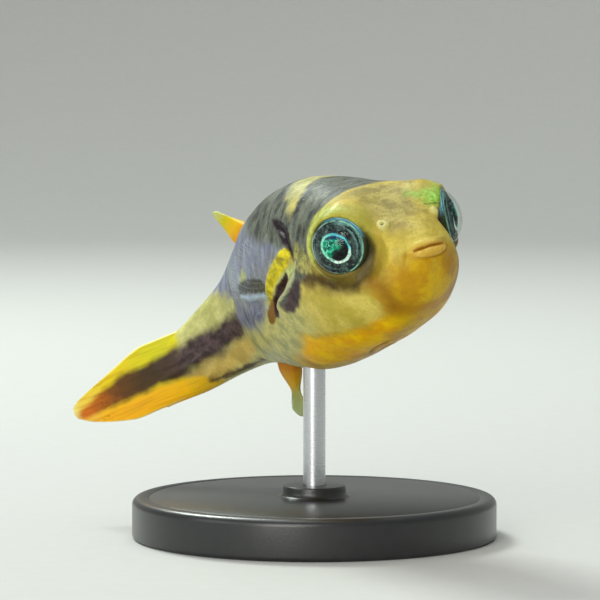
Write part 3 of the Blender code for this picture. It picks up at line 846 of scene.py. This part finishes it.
wet_skin, skin_surface = new_material(
    "wet skin", 0.45, coat_weight=0.09, coat_roughness=0.18, specular_ior_level=0.18,
    subsurface_weight=0.12, subsurface_radius=(1, 0.6, 0.25), subsurface_scale=0.0006)
skin = skin_surface.id_data
skin_lie = attribute(skin, "lie", "Vector")


def pigment(shade, dark, size=1, grain=0.5):
    """Mottled pigment of the skin."""
    return grouped(skin, pigment_group, shade=shade, dark_shade=dark, patch_size=size, grain=grain)


def marking(name, softness, raggedness, grain, strength=1):
    """The mask of one marking of the skin."""
    return times(grouped(skin, edge_group, distance=attribute(skin, name), softness=softness,
                         raggedness=raggedness, grain=grain), strength)


def streaks(across, along, low, high, shift=0, strength=1):
    """Streaks that run down the flank: a mask from noise stretched along the skin."""
    stretched = add_node(skin, "ShaderNodeMapping", {
        "Vector": skin_lie, "Location": (shift, shift, 0), "Scale": (across, along, 1)})
    return times(smooth_step(noise(stretched.outputs[0], 1, 5, 0.6, 0.5), low, high), strength)


def lay(under, *layers):
    """Lay markings over a colour. Each has its name, the softness, raggedness and grain of its
    edge, its strength and its colour."""
    for name, softness, raggedness, grain, strength, over in layers:
        under = blend(marking(name, softness, raggedness, grain, strength), under, over)
    return under


# slate: dark pigment with pale grey-green striations, their paleness partly a painted sheen, and darker
# streaks
slate = blend(streaks(2, 0.8, 0.35, 0.70, 0, 0.55), pigment((92, 98, 92), (44, 44, 44), 1.1, 0.6),
              (128, 134, 112))
slate = blend(streaks(3, 1.1, 0.50, 0.75, 9, 0.5), slate, (48, 44, 42))
lilac = blend(streaks(1.4, 0.5, 0.42, 0.66, 4, 0.6), pigment((116, 118, 146), (100, 98, 112), 1.2, 0.3),
              (150, 166, 172))
lilac = blend(streaks(1.8, 0.6, 0.52, 0.72, 7, 0.5), lilac, (176, 184, 140))
blots = blend(streaks(0.7, 3, 0.40, 0.62, 2), (58, 62, 84), (118, 126, 150))
layer = lay(
    pigment((208, 188, 84), (176, 156, 60), 1.6, 0.7),
    ("crown", 0.9, 0.5, 1.1, 0.75, pigment((168, 156, 90), (114, 106, 60), 0.8, 0.6)),
    ("amber", 0.85, 0.22, 0.9, 1, pigment((206, 168, 0), (176, 128, 0), 1.8, 0.45)),
    ("cheek", 0.28, 0.25, 1.5, 1, pigment((206, 188, 92), (174, 158, 60), 1.3, 0.5)),
    ("belly_gold", 0.55, 0.30, 1, 0.9, pigment((255, 208, 0), (240, 170, 0), 1.4, 0.2)),
    # painted shade on the lower face
    ("amber_painted_shade", 0.50, 0.12, 1.2, 0.8, (132, 86, 0)),
    # painted shade in the hollow between eye and mouth
    ("face_painted_shade", 0.40, 0.16, 1.6, 0.7, (136, 112, 34)),
    ("under_eye", 0.44, 0.16, 1.2, 1, pigment((96, 76, 6), (60, 44, 0), 0.9, 0.5)),
)
# behind the gills the ground colour is cream
behind_gills = times(smooth_step(parts(skin_lie)[0], 6.6, 9.4), less(1, marking("amber", 0.5, 0.35, 1)))
layer = lay(
    blend(behind_gills, layer, pigment((196, 190, 116), (146, 146, 92), 0.9, 0.5)),
    ("flank", 0.50, 0.28, 1, 1, lilac),
    ("stalk_cream", 0.35, 0.35, 1.4, 1, pigment((200, 198, 128), (166, 166, 100), 1, 0.4)),
    ("slate_saddle", 0.34, 0.28, 1.2, 1, slate),
    ("slate_band", 0.20, 0.20, 1.3, 1, slate),
    ("gill_blotch", 0.20, 0.14, 1.6, 1, pigment((80, 60, 62), (48, 36, 40), 0.6, 0.4)),
    ("eye_streaks", 0.20, 0.22, 2.2, 0.75, pigment((196, 190, 96), (110, 108, 60), 0.4, 0.6)),
    ("stalk_tan", 0.40, 0.30, 1.2, 0.75, pigment((212, 180, 96), (178, 146, 66), 1, 0.4)),
    ("side_band", 0.28, 0.16, 1.1, 1, pigment((84, 68, 68), (50, 38, 36), 0.8, 0.4)),
    ("tail_yellow", 0.34, 0.16, 1.3, 1, grouped(skin, tail_group)),
    ("lower_blots", 0.30, 0.22, 1.6, 0.75, blots),
    ("underside_marks", 0.18, 0.20, 1.4, 0.85, (66, 48, 44)),
    ("pad", 0.08, 0.06, 3, 1, pigment((224, 208, 36), (160, 146, 14), 0.5, 0.4)),
    ("gill_pale", 0.08, 0.06, 3, 0.9, pigment((190, 206, 128), (150, 160, 96), 0.5, 0.3)),
    ("flank_spot", 0.20, 0.20, 2, 0.8, (172, 176, 84)),
    # painted shadow of the pectoral fin in its axil
    ("axil_shadow", 0.09, 0.05, 3, 1, (12, 6, 8)),
    # painted highlight along the ridge under the pectoral fin
    ("ridge_highlight", 0.09, 0.06, 3, 0.85, (164, 190, 210)),
    # painted shade in the groove and hollow under the pectoral fin's root
    ("hollow_shadow_brown", 0.10, 0.08, 3, 1, (118, 80, 6)),
    ("hollow_shadow_dark", 0.08, 0.05, 3, 1, (54, 30, 26)),
    # painted shade inside the gill slit
    ("gill_slit_shadow", 0.10, 0.06, 3, 1, (34, 22, 30)),
    ("gill_rim", 0.07, 0.04, 3, 0.85, (180, 184, 140)),
    # painted shade in the belly's crease
    ("belly_fold", 0.10, 0.05, 3, 0.7, (96, 78, 74)),
    ("belly_fold_edge", 0.10, 0.05, 3, 0.7, (230, 180, 140)),
    ("lid_olive", 0.22, 0.10, 2, 0.7, (158, 156, 62)),
    # painted shade on the lid below the eye
    ("lid_painted_shade", 0.16, 0.10, 2.5, 0.9, (88, 74, 10)),
    # lime of the lid, partly a painted highlight where light falls on its roll above and behind
    ("lid", 0.16, 0.05, 2, 0.92, pigment((190, 198, 104), (150, 156, 66), 0.5, 0.5)),
    # lime green of the left lid with a painted sparkling sheen
    ("eye_green", 0.34, 0.20, 2, 0.85, pigment((160, 226, 110), (104, 170, 50), 0.22, 0.6)),
    # painted shade in the front dip of the lid
    ("lid_front_shadow", 0.16, 0.05, 3, 0.85, (50, 46, 26)),
    # painted shade of creases beside the left eye
    ("brow_crease_shadows", 0.05, 0.03, 3, 0.8, (62, 64, 24)),
    ("lips", 0.12, 0.05, 3, 0.9, pigment((214, 180, 84), (196, 156, 60), 0.5, 0.3)),
    # painted shade in the crease under the lower lip
    ("lip_crease_shadow", 0.08, 0.03, 3, 0.45, (176, 124, 14)),
    # painted shadow inside the mouth's slit
    ("slit", 0.06, 0.02, 3, 1, (150, 96, 8)),
    ("nostril", 0.12, 0.04, 3, 0.75, (212, 210, 138)),
    # painted shade in each nostril's hole
    ("nostril_hole_shadow", 0.04, 0.02, 3, 1, (84, 66, 34)),
)
feed(skin_surface, "Base Color", layer)

# tiny prickles, fine wrinkles that run down the flank, and the soft unevenness of wet skin
skin_place = millimetres(skin)
prickles = add_node(skin, "ShaderNodeTexVoronoi", {"Vector": skin_place, "Scale": 4.2}).outputs["Distance"]
unevenness = noise(skin_place, 2.4, 5)
wrinkles = maths("ADD", unevenness, times(streaks(4, 0.8, 0.3, 0.7, 3), 0.5))
roughen(skin_surface, maths("ADD", times(smooth_step(prickles, 0.42, 0.05), 0.35), wrinkles), 0.55, 0.00006)
feed(skin_surface, "Roughness", map_range(unevenness, 0.3, 0.7, 0.38, 0.54))


def fit(piece, slot, *nodes):
    """Fix a finished piece to the one body, in the place of nodes of the frame, which are hidden; the slot is
    not used.
    """
    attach(piece, "root")
    if nodes:
        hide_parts(*nodes)


fit(show("hide", hide_mesh, wet_skin), "skin_head", "head", "trunk", "tail_stalk")

# -------------------------------- the eyes
# Each eyeball sits free in its turret: a dark flecked iris with painted glints and a painted sky
# reflection round its rim, a bright mint ring round a pupil painted teal and black as a reflection,
# and over them the clear bulging cornea. All are turned shapes on the eye's axis.
# (distance from the axis, height over the lid's rim) in millimetres
EYE_BACK = arc((0, -0.65), 1.50, -90, 0, 20)
IRIS = ((1.50, -0.30), (1.485, -0.12), (1.44, -0.055), (1.38, -0.02), (1.25, 0.06), (1.10, 0.13),
        (0.98, 0.185), (0.88, 0.225), (0.835, 0.265), (0.80, 0.295), (0.74, 0.30), (0.68, 0.285),
        (0.655, 0.255))
PUPIL = ((0.63, 0.255), (0.52, 0.315), (0.40, 0.365), (0.27, 0.40), (0.13, 0.42), (0, 0.425))
CORNEA_MIDDLE, CORNEA_RADIUS, CORNEA_INSIDE = -1.15, 1.82, 1.77
CORNEA_FROM = 35  # degrees up from the cornea's middle to its edge
EYE_ROLL = 4  # how far the eyeball is turned down, in degrees
EYE_UNIT = 1.5  # millimetres that count as 1 in the pattern of the iris
EYE_SIDES = 96


def eye_frame(side, roll):
    """The matrix from an eye's own directions (ahead, above, the way it faces), in millimetres
    from the middle of the lid's rim, to the room's."""
    eye, ahead, above, looks = eye_axes(side)
    own = np.eye(4)
    own[:3, :3] = np.stack((ahead, above, looks), axis=1) * MM
    own[:3, 3] = eye + looks * LID_EDGE * LENGTH
    middle = Matrix.Translation((0, 0, CORNEA_MIDDLE))
    return Matrix(to_room @ own) @ middle @ Matrix.Rotation(radians(roll), 4, "X") @ middle.inverted()


iris_finish, iris_surface = new_material("iris", 0.45, specular_ior_level=0.1)
iris = iris_surface.id_data
gaze = attribute(iris, "gaze", "Vector")
gaze_ahead, gaze_above, gaze_out = parts(gaze)
flat_gaze = joined(iris, gaze_ahead, gaze_above)


def length(vector):
    """The length of a vector."""
    return add_node(iris, "ShaderNodeVectorMath", {0: vector}, operation="LENGTH").outputs["Value"]


def within(value, low, high, soft):
    """A soft mask of the iris where a value lies between two others."""
    return times(smooth_step(value, low - soft, low + soft), smooth_step(value, high + soft, high - soft))


def flecks(scale, low, high):
    """A noise mask fixed to the eye."""
    return smooth_step(noise(gaze, scale, 3, 0.6), low, high)


def towards(way_round, low=None, high=None):
    """How far a point of the iris lies towards an angle in degrees (0 ahead, 90 above), or a mask
    that rises between two such distances."""
    way = (cos(radians(way_round)), sin(radians(way_round)), 0)
    reach = add_node(iris, "ShaderNodeVectorMath", {0: flat_gaze, 1: way}, operation="DOT_PRODUCT")
    return reach.outputs["Value"] if low is None else smooth_step(reach.outputs["Value"], low, high)


# the ring is a little longer down and ahead than across
from_axis = length(flat_gaze)
ring_axis = length(joined(iris, times(towards(-50), 0.91), times(towards(40), 1.09)))
ring_axis = maths("ADD", ring_axis, times(less(noise(gaze, 3.5, 4), 0.5), 0.13))

# painted glints: fine pale arcs that run round the eye near its rim
arc_turn = maths("ABSOLUTE", maths("ARCTAN2", gaze_above, gaze_ahead))
arc_place = joined(iris, times(arc_turn, 1.3), times(from_axis, 13), times(gaze_out, 22))
arcs = smooth_step(noise(arc_place), 0.46, 0.62)
rim_glint_arcs = times(times(arcs, within(from_axis, 0.72, 0.99, 0.04)),
                 smooth_step(maths("ABSOLUTE", towards(20)), 0.1, 0.8))

# painted sky reflection round the rim: sky blue with pale streaks ahead and above, dark olive elsewhere, and
# a pale painted glint behind and below
rim_painted_sky = blend(arcs, (76, 136, 168), (184, 222, 214))
rim_painted_reflection = blend(towards(58, 0.50, 0.86), (58, 62, 44), rim_painted_sky)
rim_painted_reflection = blend(towards(200, 0.35, 0.75), rim_painted_reflection, (176, 206, 204))
# painted glints in a thin pale ring at the iris's edge, mint ahead and lavender behind
limbus_glint_tint = blend(towards(180, 0, 0.6), (140, 204, 176), (150, 158, 176))
limbus_glints = times(within(from_axis, 0.885, 0.925, 0.015), flecks(3, 0.36, 0.60))
ring_colour = blend(towards(40, -0.1, 0.45), (150, 226, 196), (70, 190, 214))
ring_colour = blend(towards(-80, 0.1, 0.45), ring_colour, (236, 250, 236))
ring_colour = blend(flecks(14, 0.46, 0.68), ring_colour, (84, 156, 146))
# the pupil is a painted reflection: teal with bright painted glints up and behind, black below and ahead,
# navy at the top
pupil_painted_reflection = blend(flecks(4, 0.38, 0.60), (0, 48, 50), (0, 184, 136))
pupil_glints = times(flecks(11, 0.52, 0.68), towards(150, -0.1, 0.25))
pupil_painted_reflection = blend(pupil_glints, pupil_painted_reflection, (130, 240, 214))
pupil_painted_reflection = blend(towards(-62, -0.04, 0.18), pupil_painted_reflection, (3, 8, 10))
pupil_painted_reflection = blend(towards(80, 0.20, 0.36), pupil_painted_reflection, (8, 44, 84))
iris_colour = blend(flecks(5, 0.42, 0.62), (22, 24, 30), (64, 76, 76))
for mask, shade in ((flecks(9, 0.56, 0.70), (108, 132, 118)), (times(rim_glint_arcs, 0.6), (132, 176, 170)),
                    (smooth_step(from_axis, 0.92, 0.955), rim_painted_reflection), (times(limbus_glints, 0.85), limbus_glint_tint),
                    (within(ring_axis, 0.445, 0.530, 0.018), ring_colour),
                    (smooth_step(ring_axis, 0.445, 0.42), pupil_painted_reflection)):
    iris_colour = blend(mask, iris_colour, shade)
# the side of the eyeball takes the rim's colour with its painted reflection
feed(iris_surface, "Base Color", blend(smooth_step(gaze_out, -0.09, -0.05), rim_painted_reflection, iris_colour))
roughen(iris_surface, noise(gaze, 12, 4), 0.4, 0.00004)

cornea_finish = bpy.data.materials.new("clear cornea")
cornea_finish.use_nodes = True
clear = cornea_finish.node_tree
clear.nodes.clear()
clear_through = add_node(clear, "ShaderNodeBsdfTransparent", {"Color": (0.97, 1, 0.99, 1)})
clear_glint = add_node(clear, "ShaderNodeBsdfGlossy", {"Color": (0.7, 0.7, 0.7, 1), "Roughness": 0.04})
clear_edge = add_node(clear, "ShaderNodeFresnel", {"IOR": 1.33})
clear_inside = add_node(clear, "ShaderNodeNewGeometry").outputs["Backfacing"]
clear_mix = add_node(clear, "ShaderNodeMixShader", {
    0: times(clear_edge.outputs[0], less(1, clear_inside)), 1: clear_through.outputs[0],
    2: clear_glint.outputs[0]})
add_node(clear, "ShaderNodeOutputMaterial", {"Surface": clear_mix.outputs[0]})

cornea_profile = arc((0, CORNEA_MIDDLE), CORNEA_RADIUS, CORNEA_FROM, 90, 22)
cornea_profile += arc((0, CORNEA_MIDDLE), CORNEA_INSIDE, 90, CORNEA_FROM, 22) + cornea_profile[:1]
for side, side_name in ((1, "left"), (-1, "right")):
    eye_mesh = turned("eyeball_" + side_name, [*EYE_BACK, *IRIS, *PUPIL], EYE_SIDES)
    set_attribute(eye_mesh, "gaze", [point.co / EYE_UNIT for point in eye_mesh.vertices], "FLOAT_VECTOR")
    cornea_mesh = turned("cornea_" + side_name, cornea_profile, EYE_SIDES)
    for mesh, finish, roll, nodes in ((eye_mesh, iris_finish, EYE_ROLL, ["eye_" + side_name]),
                                      (cornea_mesh, cornea_finish, 0, [])):
        mesh.transform(eye_frame(side, roll))
        face_out(mesh)
        fit(show(mesh.name, mesh, finish), "eye", *nodes)

# -------------------------------- the fins: webs and rays
# Each fin is a thin web of skin stretched over soft jointed rays that spring from a fleshy root.
# The tail fin is folded to a leaf; the other fins are small fans.
MIDLINE_GAP, MIDLINE_ROUNDING = 0.0003, 0.14  # from the hide to the root of a back or belly fin
PECTORAL_TOP, PECTORAL_FOOT = (0.250, 0.050), (0.352, -0.010)
PECTORAL_LENGTH, PECTORAL_ROUNDING = 0.100, 0.22
PECTORAL_FAN, PECTORAL_SPREAD = (36, 12), -4
PECTORAL_CLEAR, PECTORAL_ROOT_CLEAR = 0.0011, 0.0002


def mix(start, end, part):
    """A value part of the way from start to end."""
    return start + (end - start) * part


def midline_fin(base, length, rake, widths, above):
    """The middle surface of a fin on the back or belly line, in the head's directions."""
    def on_line(where):
        reach = back_height(np.sqrt(where)) if above > 0 else belly_depth(np.sqrt(where))
        return in_fish(where, 0 * where, above * (reach + MIDLINE_GAP / LENGTH))

    def middle(u, v):
        where = np.full_like(u, 0.5 * (base[0] + base[1]))
        forward, _, to_up = directions(where)
        ray = -forward * cos(radians(rake)) + to_up * above * sin(radians(rake))
        width = mix(1, widths[0], ease(v, 0, 0.6)) + (widths[1] - widths[0]) * ease(v, 0.4, 1)
        reach = length * LENGTH * (1 - MIDLINE_ROUNDING * (2 * u - 1) ** 2)
        spread = on_line(mix(*base, u)) - on_line(where)
        return on_line(where) + spread * width[..., None] + ray * (reach * v)[..., None]
    return middle


def tail_middle(u, v):
    """The middle surface of the folded tail fin."""
    where = mix(TAIL_FROM, 1, v)
    return in_fish(where, 0 * u, mix(tail_low(where), tail_high(where), u))


def pectoral_middle(side):
    """The middle surface of a pectoral fin: a fan laid back along the flank."""
    def middle(u, v):
        where, height_up = (mix(top, foot, u) for top, foot in zip(PECTORAL_TOP, PECTORAL_FOOT))
        root = np.sqrt(where)
        tall = np.where(height_up > 0, back_height(root), belly_depth(root))
        narrower = (1 - (np.abs(height_up) / tall) ** SECTION_POWER) ** (1 / SECTION_POWER)
        clear_by = mix(PECTORAL_ROOT_CLEAR, PECTORAL_CLEAR, ease(v, 0, 0.35)) / LENGTH
        foot = in_fish(where, side * (half_width(root) * narrower + clear_by), height_up)
        forward, to_left, to_up = directions(where)
        fan = np.radians(mix(*PECTORAL_FAN, u))[..., None]
        open_by = radians(PECTORAL_SPREAD)
        ray = (to_up * np.sin(fan) - forward * np.cos(fan)) * cos(open_by) + to_left * side * sin(open_by)
        reach = PECTORAL_LENGTH * LENGTH * (1 - PECTORAL_ROUNDING * (2 * u - 1) ** 2)
        return foot + ray * (reach * v)[..., None]
    return middle


def set_fin_place(mesh, u, v):
    """Store where the points of a fin lie in it, and what the tail's paint goes by there."""
    set_attribute(mesh, "fin", np.stack((u, v, 0 * u), axis=-1), "FLOAT_VECTOR")
    where = mix(TAIL_FROM, 1, v)
    for label, values in tail_paint(where, mix(tail_low(where), tail_high(where), u)).items():
        set_attribute(mesh, label, values)


def fin_web(name, middle, root_thick, edge_thick, across, along, root_from=0):
    """A closed thin web over middle(u, v), with u across the rays and v along them, both 0 to 1."""
    u, v = np.meshgrid(np.linspace(0, 1, across + 1), np.linspace(root_from, 1, along + 1),
                       indexing="ij")
    points = middle(u, v)
    normal = unit(np.cross(np.gradient(points, axis=0), np.gradient(points, axis=1)))
    rim = np.clip(4 * u * (1 - u), 0, 1) ** 0.25
    thick = mix(edge_thick, root_thick, (1 - ease(v, 0, 0.8)) * rim)
    shift = normal * (0.5 * thick)[..., None]
    u, v = (np.concatenate((part, part[:, ::-1]), axis=1).ravel() for part in (u, v))
    rings = np.concatenate((points + shift, (points - shift)[:, ::-1]), axis=1)
    numbers, faces = grid_faces(*rings.shape[:2])
    for end in (numbers[0], numbers[-1]):
        faces += [(end[j], end[j + 1], end[-2 - j], end[-1 - j]) for j in range(along)]
    mesh = bpy.data.meshes.new(name)
    mesh.from_pydata(placed(rings), [], faces)
    face_out(mesh)
    set_fin_place(mesh, u, v)
    return mesh


# Geometry Nodes: rays made of short jointed rods set along guide lines.
ray_nodes = bpy.data.node_groups.new("fin rays", "GeometryNodeTree")
ray_inputs = {"Guides": "Geometry", "Root Width": "Float", "Tip Width": "Float", "Joint Length": "Float",
              "Unevenness": "Float", "Seed": "Int", "Finish": "Material"}
ray_sockets = {}
for label, kind in ray_inputs.items():
    ray_sockets[label] = ray_nodes.interface.new_socket(
        name=label, in_out="INPUT", socket_type="NodeSocket" + kind).identifier
ray_nodes.interface.new_socket(name="Rays", in_out="OUTPUT", socket_type="NodeSocketGeometry")
given = ray_nodes.nodes.new("NodeGroupInput").outputs
guide_curves = add_node(ray_nodes, "GeometryNodeMeshToCurve", {"Mesh": given["Guides"]})
joint_places = add_node(ray_nodes, "GeometryNodeCurveToPoints", {
    "Curve": guide_curves.outputs["Curve"], "Length": given["Joint Length"]}, mode="LENGTH")
read_place = add_node(ray_nodes, "GeometryNodeInputNamedAttribute", {"Name": "fin"}, data_type="FLOAT_VECTOR")
along_ray = parts(read_place.outputs["Attribute"])[1]
ray_width = add_node(ray_nodes, "ShaderNodeMapRange", {
    0: along_ray, 3: given["Root Width"], 4: given["Tip Width"]}).outputs[0]
chance = add_node(ray_nodes, "FunctionNodeRandomValue", {
    2: less(1, given["Unevenness"]), "Seed": given["Seed"]}, data_type="FLOAT")
uneven = times(ray_width, chance.outputs[1])
joint = add_node(ray_nodes, "GeometryNodeMeshCylinder", {"Vertices": 7, "Radius": 1, "Depth": 1.04})
joints = add_node(ray_nodes, "GeometryNodeInstanceOnPoints", {
    "Points": joint_places.outputs["Points"], "Instance": joint.outputs["Mesh"],
    "Rotation": joint_places.outputs["Rotation"],
    "Scale": joined(ray_nodes, uneven, uneven, given["Joint Length"])})
real_rays = add_node(ray_nodes, "GeometryNodeRealizeInstances", {"Geometry": joints.outputs["Instances"]})
smooth_rays = add_node(ray_nodes, "GeometryNodeSetShadeSmooth", {"Geometry": real_rays.outputs["Geometry"]})
finished_rays = add_node(ray_nodes, "GeometryNodeSetMaterial", {
    "Geometry": smooth_rays.outputs["Geometry"], "Material": given["Finish"]})
add_node(ray_nodes, "NodeGroupOutput", {"Rays": finished_rays.outputs["Geometry"]})


def fin_rays(name, middle, rays, root_width, tip_width, joint_length, seed, finish):
    """Rays along v of a fin's middle surface, each split in two beyond its middle."""
    steps, fork_at, reach = 24, 0.55, 0.97
    across, along, edges = [], [], []
    for ray in range(rays):
        for branch in (-1, 1):
            v = np.linspace(0 if branch < 0 else fork_at, reach, steps)
            edges += [(len(along) + i, len(along) + i + 1) for i in range(steps - 1)]
            across.extend((ray + 0.5) / rays + branch * 0.22 / rays * ease(v, fork_at - 0.1, 1))
            along.extend(v)
    u, v = np.array(across), np.array(along)
    guides = bpy.data.meshes.new(name)
    guides.from_pydata(placed(middle(u, v)), edges, [])
    set_fin_place(guides, u, v)
    piece = show(name, guides)
    growing = piece.modifiers.new("rays", "NODES")
    growing.node_group = ray_nodes
    for label, value in (("Root Width", root_width), ("Tip Width", tip_width), ("Joint Length", joint_length),
                         ("Unevenness", 0.25), ("Seed", seed), ("Finish", finish)):
        growing[ray_sockets[label]] = value
    evaluated = piece.evaluated_get(bpy.context.evaluated_depsgraph_get())
    mesh = bpy.data.meshes.new_from_object(evaluated)
    piece.modifiers.clear()
    piece.data = mesh
    return piece


def fin_material(name, stops, see_through=None):
    """A fin's finish: a colour ramp from root to tip (or the tail's paint), thinner at the edge."""
    made, surface = new_material(name, 0.50, specular_ior_level=0.22, subsurface_weight=0.2,
                                 subsurface_radius=(1, 0.7, 0.3), subsurface_scale=0.0004)
    tree = surface.id_data
    sideways, along, _ = parts(attribute(tree, "fin", "Vector"))
    if stops:
        wander = times(less(noise(millimetres(tree), 2.2, 4), 0.5), 0.25)
        shade = ramp(maths("ADD", along, wander), stops)
    else:
        rim = maths("ABSOLUTE", less(sideways, 0.5))
        pale = maths("MAXIMUM", smooth_step(rim, 0.465, 0.495), smooth_step(along, 0.94, 1))
        shade = blend(times(pale, 0.6), grouped(tree, tail_group), (236, 228, 150))
    feed(surface, "Base Color", shade)
    if see_through:
        feed(surface, "Alpha", map_range(along, 0, 1, *see_through))
    return made


DORSAL_SHADES = ((0, (216, 140, 0)), (0.30, (230, 184, 0)), (0.65, (214, 200, 20)), (1, (206, 214, 130)))
ANAL_SHADES = ((0, (176, 112, 0)), (0.34, (206, 160, 30)), (0.60, (160, 164, 90)), (1, (170, 186, 130)))
CLEAR_SHADES = ((0, (190, 190, 120)), (0.4, (150, 156, 160)), (1, (186, 200, 206)))
tail_finish = fin_material("tail fin", None)
pectoral_finishes = (fin_material("pectoral fin web", CLEAR_SHADES, (0.06, 0.03)),
                     fin_material("pectoral fin ray", CLEAR_SHADES, (0.03, 0.09)))
# each fin: node, name of its rays, slot, middle surface; its web's thickness at the root and edge,
# points across and along, where its root starts, and finish; its rays' number, widths, joint, seed
# and finish
FINS = [
    ("tail_fin", "tail_fin_rays", "fin_yellow", tail_middle,
     (0.0009, 0.00014, 60, 90), tail_finish, (9, 0.00017, 0.00006, 0.00030, 3, tail_finish)),
    ("dorsal_fin", "dorsal_fin_rays", "fin_yellow",
     midline_fin((0.546, 0.590), 0.094, 45, (0.68, 0.34), 1),
     (0.0006, 0.00010, 24, 44, -0.3), fin_material("dorsal fin web", DORSAL_SHADES, (1, 0.6)),
     (7, 0.00012, 0.00004, 0.00016, 5, fin_material("dorsal fin ray", DORSAL_SHADES))),
    ("anal_fin", "anal_fin_rays", "fin_yellow",
     midline_fin((0.568, 0.622), 0.088, 73, (0.34, 0.84), -1),
     (0.0008, 0.00010, 24, 44, -0.3), fin_material("anal fin web", ANAL_SHADES, (1, 0.6)),
     (6, 0.00012, 0.00004, 0.00016, 7, fin_material("anal fin ray", ANAL_SHADES))),
]
FINS += [
    ("pectoral_fin_" + label, f"pectoral_{label}_rays", "fin_clear", pectoral_middle(side),
     (0.00022, 0.00008, 30, 36), pectoral_finishes[0],
     (9, 0.00006, 0.00003, 0.00030, seed, pectoral_finishes[1]))
    for label, side, seed in (("left", 1, 11), ("right", -1, 13))
]
for node, _, finish_slot, middle, web, web_finish, _ in FINS:
    fit(show(node + "_web", fin_web(node + "_web", middle, *web), web_finish), finish_slot, node)
for _, rays_name, finish_slot, middle, _, _, rays in FINS:
    fit(fin_rays(rays_name, middle, *rays), finish_slot)

# -------------------------------- the stand
# A turned steel base in satin black lacquer with felt under it, and a ground steel rod that is
# pressed into its boss and holds the fish by the belly.
BASE_RADIUS, BASE_HEIGHT, BASE_ROUND = 0.0098, 0.0022, 0.0004
BOSS_RADIUS, BOSS_HEIGHT, BOSS_FILLET = 0.0017, 0.0006, 0.0003
ROD_RADIUS, ROD_FOOT, ROD_TOP = 0.0006, 0.0012, 0.0106
FELT_RADIUS, FELT_THICK, FELT_GAP, RECESS_LEAN = 0.0092, 0.0002, 0.00003, 0.00005
BOSS_EDGE, BORE_GAP, BORE_BEVEL = 0.0001, 0.00001, 0.00007
GROOVE_AT, GROOVE_HALF, GROOVE_DEPTH = 0.0089, 0.00012, 0.00007
STAND_SIDES = 192
SHARP_EDGE = radians(35)

foot_round = BASE_ROUND * 0.6
boss_top = BASE_HEIGHT + BOSS_HEIGHT
bore = ROD_RADIUS + BORE_GAP
base_profile = [(0, FELT_THICK), (FELT_RADIUS, FELT_THICK), (FELT_RADIUS + RECESS_LEAN, 0)]
base_profile += arc((BASE_RADIUS - foot_round, foot_round), foot_round, -90, 0, 8)
base_profile += arc((BASE_RADIUS - BASE_ROUND, BASE_HEIGHT - BASE_ROUND), BASE_ROUND, 0, 90, 10)
base_profile += [(GROOVE_AT + GROOVE_HALF, BASE_HEIGHT), (GROOVE_AT, BASE_HEIGHT - GROOVE_DEPTH),
                 (GROOVE_AT - GROOVE_HALF, BASE_HEIGHT), (BOSS_RADIUS + BOSS_FILLET + BOSS_EDGE, BASE_HEIGHT)]
base_profile += arc((BOSS_RADIUS + BOSS_FILLET, BASE_HEIGHT + BOSS_FILLET), BOSS_FILLET, 270, 180, 6)
base_profile += arc((BOSS_RADIUS - BOSS_EDGE, boss_top - BOSS_EDGE), BOSS_EDGE, 0, 90, 5)
base_profile += [(bore + BORE_BEVEL, boss_top), (bore, boss_top - BORE_BEVEL), (bore, ROD_FOOT),
                 (0, ROD_FOOT)]
lacquer, lacquer_surface = new_material("satin black lacquer", 0.34, coat_weight=0.3, coat_roughness=0.25)
lacquer_place = millimetres(lacquer_surface.id_data)
feed(lacquer_surface, "Base Color", blend(noise(lacquer_place, 1.3, 6), (26, 27, 28), (38, 39, 41)))
roughen(lacquer_surface, noise(lacquer_place, 9), 0.25, 0.00003)
base_mesh = turned("stand_base", base_profile, STAND_SIDES)
base_mesh.set_sharp_from_angle(angle=SHARP_EDGE)
fit(show("stand_base_turned", base_mesh, lacquer), "stand_base", "stand_base")

felt, felt_surface = new_material("green felt", 0.95)
felt_fluff = noise(millimetres(felt_surface.id_data), 6, 5)
feed(felt_surface, "Base Color", blend(felt_fluff, (24, 44, 34), (52, 78, 62)))
felt_edge = FELT_RADIUS - FELT_GAP
felt_profile = [(0, 0), (felt_edge, 0), (felt_edge, FELT_THICK), (0, FELT_THICK)]
fit(show("stand_felt", turned("stand_felt", felt_profile, STAND_SIDES), felt), "stand_base")

steel, steel_surface = new_material("ground steel", 0.28, metallic=1, base_color=colour(200, 202, 206))
steel_lines = add_node(steel_surface.id_data, "ShaderNodeMapping", {
    "Vector": millimetres(steel_surface.id_data), "Scale": (1, 1, 40)})
feed(steel_surface, "Roughness", map_range(noise(steel_lines.outputs[0]), 0, 1, 0.18, 0.42))
ROD_CHAMFER = 0.00005
rod_profile = [(0, ROD_FOOT), (ROD_RADIUS - ROD_CHAMFER, ROD_FOOT), (ROD_RADIUS, ROD_FOOT + ROD_CHAMFER),
               (ROD_RADIUS, ROD_TOP - ROD_CHAMFER), (ROD_RADIUS - ROD_CHAMFER, ROD_TOP), (0, ROD_TOP)]
rod_mesh = turned("stand_rod", rod_profile, 48)
rod_mesh.set_sharp_from_angle(angle=SHARP_EDGE)
fit(show("stand_rod_ground", rod_mesh, steel), "stand_rod", "stand_rod")
